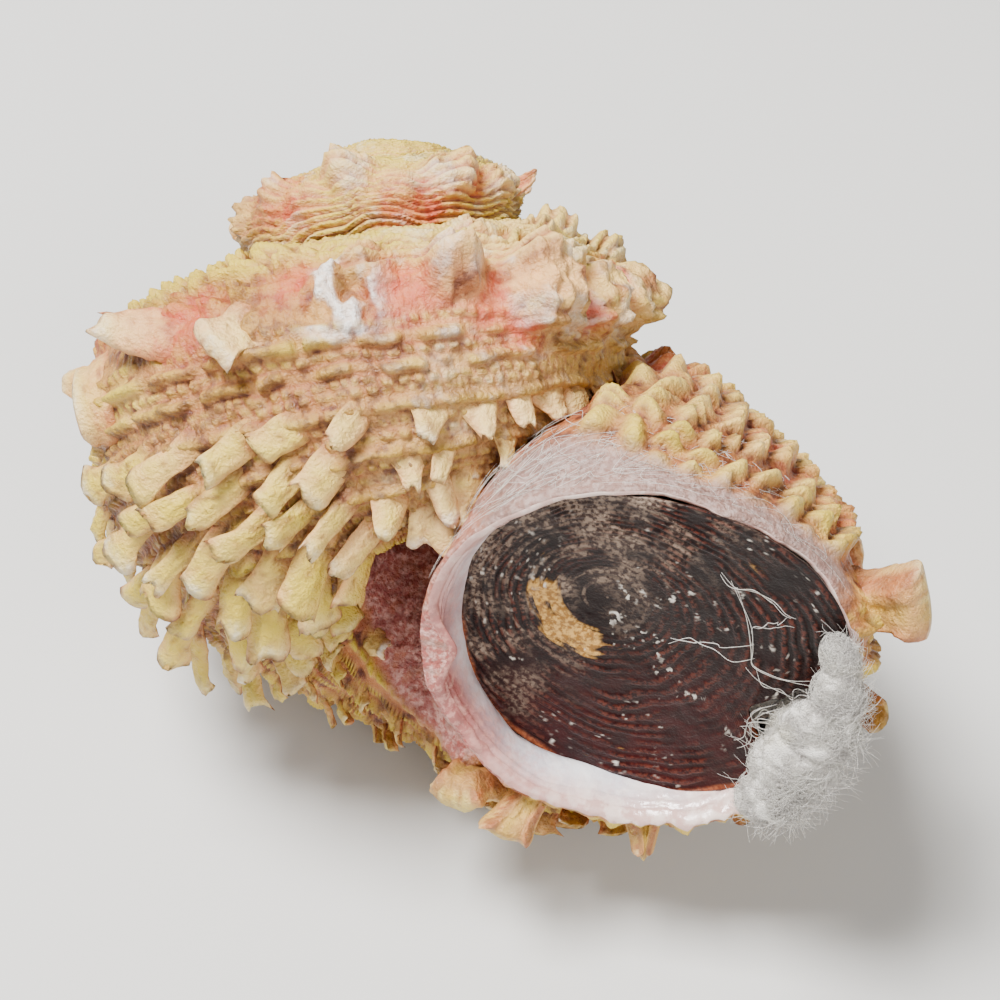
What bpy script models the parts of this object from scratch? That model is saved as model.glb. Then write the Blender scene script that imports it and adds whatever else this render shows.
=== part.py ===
"""Dolphin snail shell, with the horny lid in its mouth and the cotton wool that packs the lid in place.

The shell is one tube that grows as it coils. Every point of it is named by a turn and an angle: the
turn is 0 at the mouth and negative towards the apex, and the angle runs round the tube, 0 outward,
90 towards the apex and -90 towards the base. All lengths below are millimetres.
"""

import math
import random
from collections import namedtuple

import bmesh
import bpy
from mathutils import Matrix, Vector

MM = 0.001

# Coiling: the size of the tube and its distance from the axis grow by this ratio in one turn.
TURN_GROWTH = 1.936
AXIS_DISTANCE = 17.74
AXIS_DEPTH = 44.34
TUBE_RADIUS = 12.9
TUBE_TALL = 1.33
APEX_TURN = -3.6
SLANT = 10.9
ROLL = -25.8

# The first whorls lie nearly flat, so the top of the spire is blunt.
FLAT_TOP = 0.22
FLAT_START = -1.3
FLAT_END = -1.95
FLAT_TALL = 0.95

# The last part of the body whorl leaves the spiral and turns its round mouth forward.
FLARE_TURNS = 0.17
FLARE_OUT = 2.0
FLARE_DROP = -0.5
FLARE_FORWARD = 1.07
FLARE_SLANT = 29.3
FLARE_TWIST = 16.5
FLARE_ROLL = -8.5
FLARE_SWELL = 0.12
FLARE_ROUNDING = 0.6

# Just inside the mouth the tube runs square to the rim, and its inner lip is padded with callus.
SQUARE_TURNS = 0.14
SQUARE_PUSH = (20.9, 27.3, -41.9)
CALLUS_ANGLE = 165.0
CALLUS_SPREAD = 50.0
CALLUS_SWELL = 0.08

# Where the tube meets the whorl before it, shell fills the corner just behind the rim.
FILLET_ANGLE = 135.0
FILLET_SPREAD = 34.0
FILLET_FIRST = -0.22
FILLET_RISING_TURNS = 0.1
FILLET_LAST = -0.004
FILLET_ENDING_TURNS = 0.045
FILLET_THICK = 3.2

# The tube's outline: a keel at the shoulder, a flat ramp above it, an edge round the umbilicus.
SHOULDER_ANGLE = 46.0
SHOULDER_KEEL = 0.035
RAMP_ANGLE = 84.0
RAMP_SPREAD = 20.0
RAMP_HOLLOW = 0.03
MARGIN_ANGLE = -112.0
MARGIN_KEEL = 0.045
KEEL_SPREAD = 14.0

# The bore, open at the mouth: the wall is thin at the lip and thick from a little way inside.
LIP_WALL = 0.9
INNER_WALL = 1.5
LIP_TURNS = 0.06
WALL_TURNS = 0.11
NACRE_ANGLE = -80.0
NACRE_SPREAD = 60.0
NACRE_PAD = 2.4
NACRE_TURNS = 0.05
BORE_START = -0.9
BORE_PAST_LIP = 0.02
BODY_START = -1.05
SPIRE_END = -0.86
APEX_PLUG_RADIUS = 1.7
APEX_PLUG_DEPTH = 11.2

# The horny lid: a thin dished disc set a little way into the mouth and tilted in it, with a
# broken notch on its outer side where the cotton wool comes through.
LID_RADIUS = 12.7
LID_THICK = 0.8
LID_EDGE = 0.35
LID_BEVEL = 0.1
LID_DISH = 0.5
LID_RECESS = 1.9
LID_ASIDE = -0.5
LID_ASIDE_UP = 0.5
LID_TILT_OUT = -6.5
LID_TILT_UP = -8.5
LID_TUCK_ANGLE = -168.0
LID_TUCK_SPREAD = 40.0
LID_TUCK = 0.85
NOTCH_FIRST = -36.0
NOTCH_DEEPEST = -14.0
NOTCH_LAST = 29.0
NOTCH_DEPTH = 0.36

# Lumps of the cotton wool in the mouth's own frame: angle round it, distance from its middle, height
# in front of the rim, and half sizes along the radius, round it and through it.
COTTON_LUMPS = (
    (0.0, 0.0, -6.4, 9.2, 9.2, 1.5),
    (-12.0, 9.4, -4.9, 1.8, 4.0, 2.2),
    (-9.0, 11.0, -1.6, 1.5, 2.6, 3.0),
    (-27.0, 12.3, 1.75, 2.5, 2.8, 1.2),
    (-13.0, 11.7, 1.75, 3.2, 3.0, 1.3),
    (3.0, 12.1, 1.75, 2.8, 3.0, 1.2),
    (18.0, 12.8, 1.7, 1.9, 2.8, 1.1),
    (31.0, 13.2, 1.6, 1.3, 2.2, 0.9),
)
COTTON_VOXEL = 0.45
COTTON_FACES_KEPT = 0.08

# Surface detail, and how the solid is closed up and thinned to few faces.
ROOT_DEPTH = 1.3
ROOT_BACK = 0.25
ARCH = 0.22
SPINE_THICK = 1.5
SCALE_THICK = 1.2
SIZE_WITH_GROWTH = 0.45
SCALE_SIZE = 1.2
VOXEL = 0.42
SHELL_FACES_KEPT = 0.0305
JITTER_SEED = 11
NEAR_LIP_TURNS = 0.33
NEAR_LIP_SHORTER = 0.45

# How the shell lies, mouth up, on the worn tips of the spines of its back: the way that points up and
# the way that the mouth's side faces, both in the shell's own frame, and the place of its apex.
REST_UP = Vector((0.443, -0.689, 0.574))
REST_FRONT = Vector((0.508, -0.86, -0.051))
REST_PLACE = Vector((-7.041, 25.731, 44.27))
FLOOR_BLOCK = 80.0

Row = namedtuple("Row", "angle turns length width lean rise tip")
Spine = namedtuple("Spine", "turn angle length width thick lean rise tip")


def rest_matrix():
    """The turn and the shift that lay the shell on the floor."""
    up = REST_UP.normalized()
    back = -(REST_FRONT - up * REST_FRONT.dot(up)).normalized()
    turn = Matrix((back.cross(up), back, up)).to_4x4()
    return Matrix.Translation(REST_PLACE * MM) @ turn


def smooth_step(value):
    """Ease from 0 to 1 between 0 and 1."""
    value = min(max(value, 0.0), 1.0)
    return value * value * (3.0 - 2.0 * value)


def bump(angle, centre, spread):
    """A rounded bump of height 1 round the tube, centred on an angle."""
    away = (angle - centre + 180.0) % 360.0 - 180.0
    return math.exp(-((away / spread) ** 2))


def section_frame(turn):
    """Centre of the tube at a turn, its outward and apexward directions, its size and its flare."""
    size = TURN_GROWTH**turn
    sweep = -turn * math.tau
    radial = Vector((math.cos(sweep), math.sin(sweep), 0.0))
    forward = Vector((math.sin(sweep), -math.cos(sweep), 0.0))
    axis = Vector((0.0, 0.0, 1.0))
    flare = smooth_step((turn + FLARE_TURNS) / FLARE_TURNS)
    depth = AXIS_DEPTH * (size**6 + FLAT_TOP**6) ** (1.0 / 6.0)
    centre = radial * (AXIS_DISTANCE * size + FLARE_OUT * flare)
    centre += axis * (FLARE_DROP * flare - depth) + forward * (FLARE_FORWARD * flare)
    square = turn * max(0.0, 1.0 + turn / SQUARE_TURNS) ** 2
    centre += Vector(SQUARE_PUSH) * square
    slant = math.radians(SLANT + FLARE_SLANT * flare)
    upward = axis * math.cos(slant) + forward * math.sin(slant)
    outward = radial.copy()
    outward.rotate(Matrix.Rotation(math.radians(FLARE_TWIST * flare), 3, upward))
    turned = Matrix.Rotation(math.radians(ROLL + FLARE_ROLL * flare), 3, outward.cross(upward))
    outward.rotate(turned)
    upward.rotate(turned)
    return centre, outward, upward, size, flare


def fillet(turn, angle):
    """Thickness of the shell that fills the corner above the mouth."""
    rising = smooth_step((turn - FILLET_FIRST) / FILLET_RISING_TURNS)
    ending = smooth_step((FILLET_LAST - turn) / FILLET_ENDING_TURNS)
    return FILLET_THICK * rising * ending * bump(angle, FILLET_ANGLE, FILLET_SPREAD)


def tube_point(turn, angle, inset=0.0):
    """A point on the shell's outer surface, or sunk below it by the wall's thickness."""
    centre, outward, upward, size, flare = section_frame(turn)
    outline = 1.0 + SHOULDER_KEEL * bump(angle, SHOULDER_ANGLE, KEEL_SPREAD)
    outline += MARGIN_KEEL * bump(angle, MARGIN_ANGLE, KEEL_SPREAD)
    outline -= RAMP_HOLLOW * bump(angle, RAMP_ANGLE, RAMP_SPREAD)
    outline += (1.0 - outline) * FLARE_ROUNDING * flare
    outline += CALLUS_SWELL * flare * bump(angle, CALLUS_ANGLE, CALLUS_SPREAD)
    radius = TUBE_RADIUS * size * (1.0 + FLARE_SWELL * flare) * outline + fillet(turn, angle)
    tall = TUBE_TALL + (1.0 - TUBE_TALL) * flare
    if math.sin(math.radians(angle)) > 0.0:
        tall += (FLAT_TALL - TUBE_TALL) * smooth_step((turn - FLAT_START) / (FLAT_END - FLAT_START))
    phase = math.radians(angle)
    across = (radius - inset) * math.cos(phase)
    return centre + outward * across + upward * ((radius * tall - inset) * math.sin(phase))


def surface_axes(turn, angle):
    """Growth, base and outward directions on the shell's surface."""
    growth = (tube_point(turn + 0.002, angle) - tube_point(turn - 0.002, angle)).normalized()
    base = (tube_point(turn, angle - 1.0) - tube_point(turn, angle + 1.0)).normalized()
    normal = base.cross(growth).normalized()
    if normal.dot(tube_point(turn, angle) - section_frame(turn)[0]) < 0.0:
        normal.negate()
    return growth, base, normal


def mesh_from(name, shape):
    """A mesh with a bmesh's faces, which are then let go."""
    mesh = bpy.data.meshes.new(name)
    shape.to_mesh(mesh)
    shape.free()
    return mesh


def closed_skin(name, along, around, place):
    """A closed body: a grid bent by place(u, v) into a tube, with its seam welded and ends capped."""
    skin = bmesh.new()
    bmesh.ops.create_grid(skin, x_segments=along, y_segments=around, size=0.5)
    for vert in skin.verts:
        vert.co = place(vert.co.x + 0.5, vert.co.y + 0.5) * MM
    bmesh.ops.remove_doubles(skin, verts=skin.verts, dist=1e-6)
    bmesh.ops.holes_fill(skin, edges=[edge for edge in skin.edges if edge.is_boundary], sides=0)
    bmesh.ops.recalc_face_normals(skin, faces=skin.faces)
    return mesh_from(name, skin)


def new_object(name, mesh, collection):
    """An object that shows a mesh, in a collection."""
    thing = bpy.data.objects.new(name, mesh)
    collection.objects.link(thing)
    return thing


def finish(thing, name, colour, roughness):
    """Give an object its one plain material."""
    material = bpy.data.materials.new(name)
    material.use_nodes = True
    shader = material.node_tree.nodes["Principled BSDF"]
    shader.inputs["Base Color"].default_value = (*colour, 1.0)
    shader.inputs["Roughness"].default_value = roughness
    thing.data.materials.clear()
    thing.data.materials.append(material)


def whorl_skin(name, first, last, steps, sides, inset):
    """A length of the tube between two turns, sunk by inset(turn, angle) below the outer surface."""

    def place(along, around):
        turn = first + (last - first) * along
        angle = 360.0 * around - 180.0
        return tube_point(turn, angle, inset(turn, angle))

    return closed_skin(name, steps, sides, place)


def wall(turn, angle):
    """Thickness of the shell: thin at the lip, and padded with nacre inside the lower lip."""
    inside = smooth_step((-turn - LIP_TURNS) / (WALL_TURNS - LIP_TURNS))
    nacre = NACRE_PAD * bump(angle, NACRE_ANGLE, NACRE_SPREAD) * smooth_step(-turn / NACRE_TURNS)
    plain = (LIP_WALL + (INNER_WALL - LIP_WALL) * inside) * TURN_GROWTH ** (0.5 * turn)
    return plain + nacre + fillet(turn, angle)


def no_inset(turn, angle):
    """The outer surface itself."""
    return 0.0


def spine_skin(spine):
    """One scale or spine: a bent, tapering blade that leans off the surface it grows from."""
    growth, base, normal = surface_axes(spine.turn, spine.angle)
    root = tube_point(spine.turn, spine.angle)
    lean = math.radians(spine.lean)
    rise = math.radians(spine.rise)
    along = growth * math.cos(lean) + base * math.sin(lean)
    tip_way = along * math.cos(rise) + normal * math.sin(rise)
    start = root - normal * ROOT_DEPTH - along * (ROOT_BACK * spine.length)
    middle = root + along * (ROOT_BACK * spine.length) + normal * (ARCH * spine.length)
    end = root + tip_way * spine.length
    across = along.cross(normal).normalized()

    def place(way, around):
        point = start * (1 - way) ** 2 + middle * (2 * way * (1 - way)) + end * way**2
        heading = ((middle - start) * (1 - way) + (end - middle) * way).normalized()
        thick_way = across.cross(heading).normalized()
        phase = math.tau * around
        half_wide = 0.5 * spine.width * (1.0 + (spine.tip - 1.0) * way)
        half_thick = 0.5 * spine.thick * (1.25 - 0.5 * way)
        corner = max(abs(math.cos(phase)), abs(math.sin(phase)))
        wide = half_wide * math.cos(phase) / corner
        deep = half_thick * math.sin(phase) / corner
        return point + across * wide + thick_way * deep

    return closed_skin("spine", 5, 9, place)


def lean_of(turn):
    """Scales lean forward on the last half turn and droop to the base before it."""
    return 25.0 + 60.0 * smooth_step((-0.74 - turn) / 0.1)


def spread(first, last, gap):
    """Turns from first to last, one gap apart."""
    return tuple(first + gap * step for step in range(int((last - first) / gap + 1.001)))


# Rows of scales on the body whorl, from the shoulder to the umbilicus. The first turns of each row
# are the scales on the side that shows beside the mouth, and the rest go on round the back.
SCALE_ROWS = (
    Row(33.0, spread(-1.02, -0.05, 0.036), 1.3, 1.3, None, 30.0, 0.8),
    Row(22.0, spread(-1.02, -0.05, 0.033), 1.7, 1.3, None, 24.0, 0.9),
    Row(7.0, (-1.02, -0.957, -0.906, -0.879, -0.852, -0.811, -0.78, -0.73, -0.675)
        + spread(-0.62, -0.05, 0.055), 3.5, 2.1, None, 40.0, 0.75),
    Row(-9.0, (-0.9, -0.86, -0.831, -0.795, -0.752, -0.703) + spread(-0.655, -0.06, 0.055),
        2.7, 1.8, None, 38.0, 0.75),
    Row(-26.0, (-0.878, -0.851, -0.82, -0.765, -0.722, -0.672) + spread(-0.62, -0.06, 0.056),
        3.0, 1.9, None, 42.0, 0.8),
    Row(-43.0, (-0.84, -0.754, -0.715, -0.672) + spread(-0.625, -0.06, 0.058),
        3.7, 2.1, None, 55.0, 0.8),
    Row(-61.0, spread(-0.71, -0.06, 0.062), 3.2, 2.2, None, 58.0, 0.75),
    Row(-80.0, spread(-0.67, -0.08, 0.064), 2.7, 2.3, None, 58.0, 0.75),
    Row(-99.0, spread(-0.62, -0.1, 0.066), 2.5, 2.4, None, 54.0, 0.8),
)

# Rounded knobs on the ramp between the shoulder and the suture.
RAMP_ROWS = tuple(
    Row(angle, spread(-1.0 + 0.008 * number, -0.05, 0.036), 1.3, 1.4, 20.0, 60.0, 0.9)
    for number, angle in enumerate((62.0, 72.0, 82.0, 92.0, 102.0, 112.0))
)

# Big spines along the shoulder: turn, length, width, lean, rise and how wide the tip is.
SHOULDER_SPINES = (
    (-0.09, 2.2, 3.6, 8.0, 45.0, 0.8),
    (-0.155, 3.2, 3.8, 8.0, 46.0, 0.7),
    (-0.22, 4.4, 3.8, 5.0, 46.0, 0.6),
    (-0.285, 4.6, 3.6, 5.0, 46.0, 0.55),
    (-0.35, 4.3, 3.4, 0.0, 44.0, 0.6),
    (-0.415, 4.4, 3.4, 0.0, 44.0, 0.55),
    (-0.48, 4.2, 3.2, -5.0, 44.0, 0.6),
    (-0.54, 4.2, 3.2, -5.0, 44.0, 0.6),
    (-0.6, 4.2, 3.2, -8.0, 44.0, 0.6),
    (-0.715, 5.8, 3.4, -4.0, 38.0, 0.6),
    (-0.757, 2.6, 3.4, 5.0, 40.0, 0.95),
    (-0.815, 2.6, 4.4, -70.0, 55.0, 0.9),
    (-0.872, 3.2, 4.4, -80.0, 45.0, 0.7),
    (-0.94, 3.2, 5.2, -80.0, 48.0, 0.85),
    (-0.99, 2.4, 3.0, -60.0, 55.0, 0.8),
    (-1.03, 2.8, 3.2, -30.0, 60.0, 0.7),
    (-1.1, 2.6, 3.0, -20.0, 50.0, 0.6),
    (-1.17, 2.6, 2.8, -10.0, 50.0, 0.6),
    (-1.24, 2.5, 2.8, -10.0, 50.0, 0.6),
    (-1.31, 2.4, 2.6, -10.0, 50.0, 0.6),
    (-1.38, 2.4, 2.6, -10.0, 50.0, 0.6),
    (-1.45, 2.2, 2.4, -10.0, 50.0, 0.6),
    (-1.52, 2.1, 2.4, -10.0, 50.0, 0.6),
    (-1.59, 2.0, 2.2, -10.0, 50.0, 0.6),
    (-1.665, 2.0, 2.4, 0.0, 55.0, 0.7),
    (-1.775, 2.0, 2.8, -60.0, 60.0, 0.6),
    (-1.89, 2.0, 2.6, -70.0, 62.0, 0.5),
    (-2.0, 2.3, 1.8, -40.0, 60.0, 0.4),
    (-2.11, 1.8, 1.6, -20.0, 60.0, 0.5),
    (-2.22, 1.6, 1.5, -20.0, 60.0, 0.5),
    (-2.34, 1.4, 1.4, -20.0, 60.0, 0.5),
    (-2.46, 1.2, 1.2, -20.0, 60.0, 0.5),
)

# Spines that stand by themselves: on the lower lip, at the margin of the umbilicus and on the base.
LONE_SPINES = (
    Spine(-0.022, 36.0, 5.6, 5.4, 1.8, 12.0, 58.0, 0.85),
    Spine(-0.65, 36.0, 3.0, 5.0, 1.5, 10.0, 60.0, 0.95),
    Spine(-0.03, -100.0, 4.2, 2.6, 1.6, 20.0, 72.0, 0.7),
    Spine(-0.03, -68.0, 3.4, 3.0, 1.6, 20.0, 70.0, 0.35),
    Spine(-0.12, -108.0, 4.2, 4.4, 1.8, 60.0, 60.0, 0.9),
    Spine(-0.371, -124.0, 2.6, 2.0, 1.4, 30.0, 60.0, 0.9),
    Spine(-0.84, -38.0, 3.4, 2.4, 1.3, 80.0, 40.0, 0.9),
)


def all_spines():
    """Every scale and spine of the shell, with a little seeded variety in the rows."""
    shuffle = random.Random(JITTER_SEED)
    spines = [
        Spine(turn, SHOULDER_ANGLE, length, width, SPINE_THICK, lean, rise, tip)
        for turn, length, width, lean, rise, tip in SHOULDER_SPINES
    ]
    spines += list(LONE_SPINES)
    for row in SCALE_ROWS + RAMP_ROWS:
        for turn in row.turns:
            grown = TURN_GROWTH ** (SIZE_WITH_GROWTH * turn) * SCALE_SIZE
            if -110.0 < row.angle < -20.0:
                grown *= 1.0 - NEAR_LIP_SHORTER * smooth_step((turn + NEAR_LIP_TURNS) / 0.15)
            lean = lean_of(turn) if row.lean is None else row.lean
            length = row.length * grown * shuffle.uniform(0.85, 1.15)
            width = row.width * grown * shuffle.uniform(0.9, 1.1)
            rise = row.rise + shuffle.uniform(-6.0, 6.0)
            angle = row.angle + shuffle.uniform(-1.5, 1.5)
            spines.append(Spine(turn, angle, length, width, SCALE_THICK, lean, rise, row.tip))
    return spines


def cutter(name, mesh, cutters):
    """A body that only cuts another, shown as wires and never rendered."""
    thing = new_object(name, mesh, cutters)
    thing.hide_render = True
    thing.display_type = "WIRE"
    return thing


def cut_away(thing, tool):
    """Cut one body out of another, live."""
    cut = thing.modifiers.new(tool.name, "BOOLEAN")
    cut.operation = "DIFFERENCE"
    cut.solver = "EXACT"
    cut.object = tool


def fuse_and_thin(thing, voxel, kept):
    """Grow the lumps of a body together and keep a share of the faces, live."""
    fuse = thing.modifiers.new("fuse", "REMESH")
    fuse.mode = "VOXEL"
    fuse.voxel_size = voxel * MM
    fuse.use_smooth_shade = True
    thin = thing.modifiers.new("thin", "DECIMATE")
    thin.ratio = kept


def hollow_body(cutters):
    """The body whorl with its bore cut out."""
    body = new_object("body_whorl", whorl_skin("body_whorl", BODY_START, 0.0, 72, 49, no_inset), cutters)
    bore_skin = whorl_skin("bore", BORE_START, BORE_PAST_LIP, 64, 41, wall)
    cut_away(body, cutter("bore", bore_skin, cutters))
    hollow = bpy.data.meshes.new_from_object(body.evaluated_get(bpy.context.evaluated_depsgraph_get()))
    bpy.data.objects.remove(body)
    return hollow


def build_shell(shell_parts, cutters):
    """The shell: the hollow body whorl, the spire inside it and all the spines, grown together."""
    joined = bmesh.new()
    joined.from_mesh(hollow_body(cutters))
    joined.from_mesh(whorl_skin("spire", APEX_TURN, SPIRE_END, 150, 41, no_inset))
    apex = Matrix.Translation((0.0, 0.0, -APEX_PLUG_DEPTH * MM))
    bmesh.ops.create_icosphere(joined, subdivisions=2, radius=APEX_PLUG_RADIUS * MM, matrix=apex)
    for spine in all_spines():
        joined.from_mesh(spine_skin(spine))
    shell = new_object("shell", mesh_from("shell", joined), shell_parts)
    fuse_and_thin(shell, VOXEL, SHELL_FACES_KEPT)
    floor = bmesh.new()
    below = Matrix.Translation((0.0, 0.0, -0.5 * FLOOR_BLOCK * MM))
    bmesh.ops.create_cube(floor, size=FLOOR_BLOCK * MM, matrix=below)
    cut_away(shell, cutter("floor_block", mesh_from("floor_block", floor), cutters))
    finish(shell, "shell_layers", (0.72, 0.5, 0.36), 0.6)
    return shell


def mouth_point(angle, distance, height):
    """A point given from the middle of the mouth: angle round it, distance, height above the rim."""
    centre, outward, upward, _, _ = section_frame(0.0)
    phase = math.radians(angle)
    flat = outward * math.cos(phase) + upward * math.sin(phase)
    return centre + flat * distance + outward.cross(upward) * height


def lid_frame():
    """Middle of the lid, its two directions across and the way it faces."""
    centre, outward, upward, _, _ = section_frame(0.0)
    front = outward.cross(upward)
    middle = centre + outward * LID_ASIDE + upward * LID_ASIDE_UP - front * LID_RECESS
    facing = front + outward * math.tan(math.radians(LID_TILT_OUT))
    facing = (facing + upward * math.tan(math.radians(LID_TILT_UP))).normalized()
    across = (outward - facing * outward.dot(facing)).normalized()
    return middle, across, facing.cross(across), facing


def lid_outline(angle):
    """The lid's radius in a direction: tucked in behind the inner lip, and notched on the other side."""
    if angle <= NOTCH_FIRST or angle >= NOTCH_LAST:
        return LID_RADIUS - LID_TUCK * bump(angle, LID_TUCK_ANGLE, LID_TUCK_SPREAD)
    if angle < NOTCH_DEEPEST:
        depth = (angle - NOTCH_FIRST) / (NOTCH_DEEPEST - NOTCH_FIRST)
    else:
        depth = (NOTCH_LAST - angle) / (NOTCH_LAST - NOTCH_DEEPEST)
    return LID_RADIUS * (1.0 - NOTCH_DEPTH * smooth_step(depth))


def build_operculum(shell_parts):
    """The horny lid that closes the mouth."""
    middle, across, upward, facing = lid_frame()

    def place(along, around):
        angle = 360.0 * around - 180.0
        back = along < 0.5
        share = min(1.0, 2.0 * min(along, 1.0 - along) / (1.0 - LID_BEVEL))
        radius = lid_outline(angle) * max(share, 0.001)
        thick = LID_EDGE + (LID_THICK - LID_EDGE) * (1.0 - share)
        height = LID_DISH * (share * share - 1.0) - (thick if back else 0.0)
        phase = math.radians(angle)
        flat = across * math.cos(phase) + upward * math.sin(phase)
        return middle + flat * radius + facing * height

    lid = new_object("operculum", closed_skin("operculum", 10, 37, place), shell_parts)
    finish(lid, "dark_horn", (0.05, 0.015, 0.012), 0.35)
    return lid


def build_cotton(shell_parts):
    """The wad of cotton wool behind the lid, which comes out through its notch and over the lip."""
    _, outward, upward, _, _ = section_frame(0.0)
    front = outward.cross(upward)
    wad = bmesh.new()
    for angle, distance, height, half_radial, half_round, half_deep in COTTON_LUMPS:
        phase = math.radians(angle)
        radial = outward * math.cos(phase) + upward * math.sin(phase)
        turned = Matrix((radial, front.cross(radial), front)).transposed().to_4x4()
        stretch = Matrix.Diagonal((half_radial * MM, half_round * MM, half_deep * MM, 1.0))
        placed = Matrix.Translation(mouth_point(angle, distance, height) * MM) @ turned @ stretch
        bmesh.ops.create_uvsphere(wad, u_segments=24, v_segments=12, radius=1.0, matrix=placed)
    cotton = new_object("cotton_wool", mesh_from("cotton_wool", wad), shell_parts)
    fuse_and_thin(cotton, COTTON_VOXEL, COTTON_FACES_KEPT)
    finish(cotton, "cotton_fibre", (0.82, 0.81, 0.8), 0.95)
    return cotton


def collection_named(name):
    """A new collection in the scene."""
    collection = bpy.data.collections.new(name)
    bpy.context.scene.collection.children.link(collection)
    return collection


def main():
    """Build the shell, its lid and the cotton wool."""
    for thing in list(bpy.data.objects):
        bpy.data.objects.remove(thing)
    shell_parts = collection_named("dolphin_snail_shell")
    cutters = collection_named("cutters")
    rest = bpy.data.objects.new("rest", None)
    shell_parts.objects.link(rest)
    rest.matrix_world = rest_matrix()
    for piece in (build_shell(shell_parts, cutters), build_operculum(shell_parts), build_cotton(shell_parts)):
        piece.parent = rest


main()
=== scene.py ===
"""Dolphin snail shell with its horny lid and the cotton wool round it, in full surface detail.

The shell is one tube that grows as it coils. Every point of it is named by a turn and an angle: the
turn is 0 at the mouth and negative towards the apex, and the angle runs round the tube, 0 outward,
90 towards the apex and -90 towards the base. Lengths are millimetres in the shell's own frame until
a piece is laid on the floor.
"""

from __future__ import annotations

import logging
import math
from dataclasses import dataclass, field
from enum import Enum
from functools import lru_cache

import bmesh
import bpy
import numpy as np
from bpy.types import Material, Mesh, NodeSocket, NodeTree, Object
from mathutils import Matrix, Vector

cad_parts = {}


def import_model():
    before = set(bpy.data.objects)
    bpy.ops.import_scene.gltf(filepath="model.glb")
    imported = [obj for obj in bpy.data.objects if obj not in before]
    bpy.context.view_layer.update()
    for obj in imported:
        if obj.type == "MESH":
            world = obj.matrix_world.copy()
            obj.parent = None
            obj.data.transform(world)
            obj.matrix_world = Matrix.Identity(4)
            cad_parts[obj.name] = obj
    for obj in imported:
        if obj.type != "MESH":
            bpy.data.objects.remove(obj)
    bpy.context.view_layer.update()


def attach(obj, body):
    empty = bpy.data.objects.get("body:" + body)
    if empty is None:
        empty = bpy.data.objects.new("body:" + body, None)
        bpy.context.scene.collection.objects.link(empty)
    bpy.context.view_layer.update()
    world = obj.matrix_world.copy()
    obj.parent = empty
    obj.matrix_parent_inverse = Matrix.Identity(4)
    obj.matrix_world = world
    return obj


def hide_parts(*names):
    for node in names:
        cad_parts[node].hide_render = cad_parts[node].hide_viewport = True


LOG = logging.getLogger("dolphin_snail_shell")
Array = np.ndarray
Triple = tuple[float, float, float]
# Width of a patch in millimetres, and the noise at which it starts and is full.
Patch = Triple
# A millimetre in metres.
MM = 0.001
# How many lumps the noise has along each side before it repeats.
NOISE_CELLS = 32
# Points of a piece nearer than this, in metres, are welded: first a shell piece, then a fibre.
WELD = 1e-6
FIBRE_WELD = 1e-8


class Node(Enum):
    """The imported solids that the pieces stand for."""

    SHELL = "shell"
    LID = "operculum"
    COTTON = "cotton_wool"


class Slot(Enum):
    """The record's material slots."""

    SHELL = "shell_layers"
    HORN = "dark_horn"
    COTTON = "cotton_fibre"


def ease(value: Array | float) -> Array:
    """Ease from 0 to 1 between 0 and 1.

    Args:
        value: any numbers.

    Returns:
        The eased numbers.
    """
    value = np.clip(value, 0.0, 1.0)
    return value * value * (3.0 - 2.0 * value)


def bump(angle: Array | float, centre: float, spread: float) -> Array:
    """A rounded bump of height 1 round the tube.

    Args:
        angle: angles round the tube, in degrees.
        centre: the angle of its top.
        spread: its half width in degrees.

    Returns:
        Its height at each angle.
    """
    away = (np.asarray(angle) - centre + 180.0) % 360.0 - 180.0
    return np.exp(-((away / spread) ** 2))


@lru_cache(maxsize=None)
def noise_table(seed: int) -> Array:
    """A cube of seeded numbers between -1 and 1."""
    return np.random.default_rng(seed).uniform(-1.0, 1.0, (NOISE_CELLS,) * 3)


def lattice_noise(points: Array, size: float, seed: int) -> Array:
    """Smooth noise in space.

    Args:
        points: places, an array of three numbers each.
        size: width of one lump in the points' unit.
        seed: which noise.

    Returns:
        A number between -1 and 1 for each point.
    """
    table = noise_table(seed)
    scaled = points / size
    cell = np.floor(scaled).astype(int)
    part = scaled - cell
    part = part * part * (3.0 - 2.0 * part)
    total = np.zeros(points.shape[:-1])
    for corner in np.ndindex(2, 2, 2):
        spot = (cell + corner) % NOISE_CELLS
        weight = np.prod(np.where(np.array(corner) == 1, part, 1.0 - part), axis=-1)
        total += table[spot[..., 0], spot[..., 1], spot[..., 2]] * weight
    return total


def rough_noise(points: Array, size: float, seed: int, layers: int = 3) -> Array:
    """Noise with finer noise on it, each layer half as wide and half as high.

    Args:
        points: places, an array of three numbers each.
        size: width of the widest lumps.
        seed: which noise.
        layers: how many layers there are.

    Returns:
        A number between about -1 and 1 for each point.
    """
    total = np.zeros(points.shape[:-1])
    for layer in range(layers):
        total += lattice_noise(points, size / 2**layer, seed + layer) / 2**layer
    return total / 1.5


def unit(vectors: Array) -> Array:
    """Vectors of length 1 in the same directions."""
    return vectors / np.maximum(np.linalg.norm(vectors, axis=-1, keepdims=True), 1e-12)


def clipped(paint: dict[str, Array]) -> dict[str, Array]:
    """Masks with every value kept between 0 and 1."""
    return {name: np.clip(value, 0.0, 1.0) for name, value in paint.items()}


def stacked(x: Array, y: Array | float = 0.0, z: Array | float = 0.0) -> Array:
    """Points from their coordinates, some of which may be plain numbers."""
    return np.stack(np.broadcast_arrays(x, y, z), -1)


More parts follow.
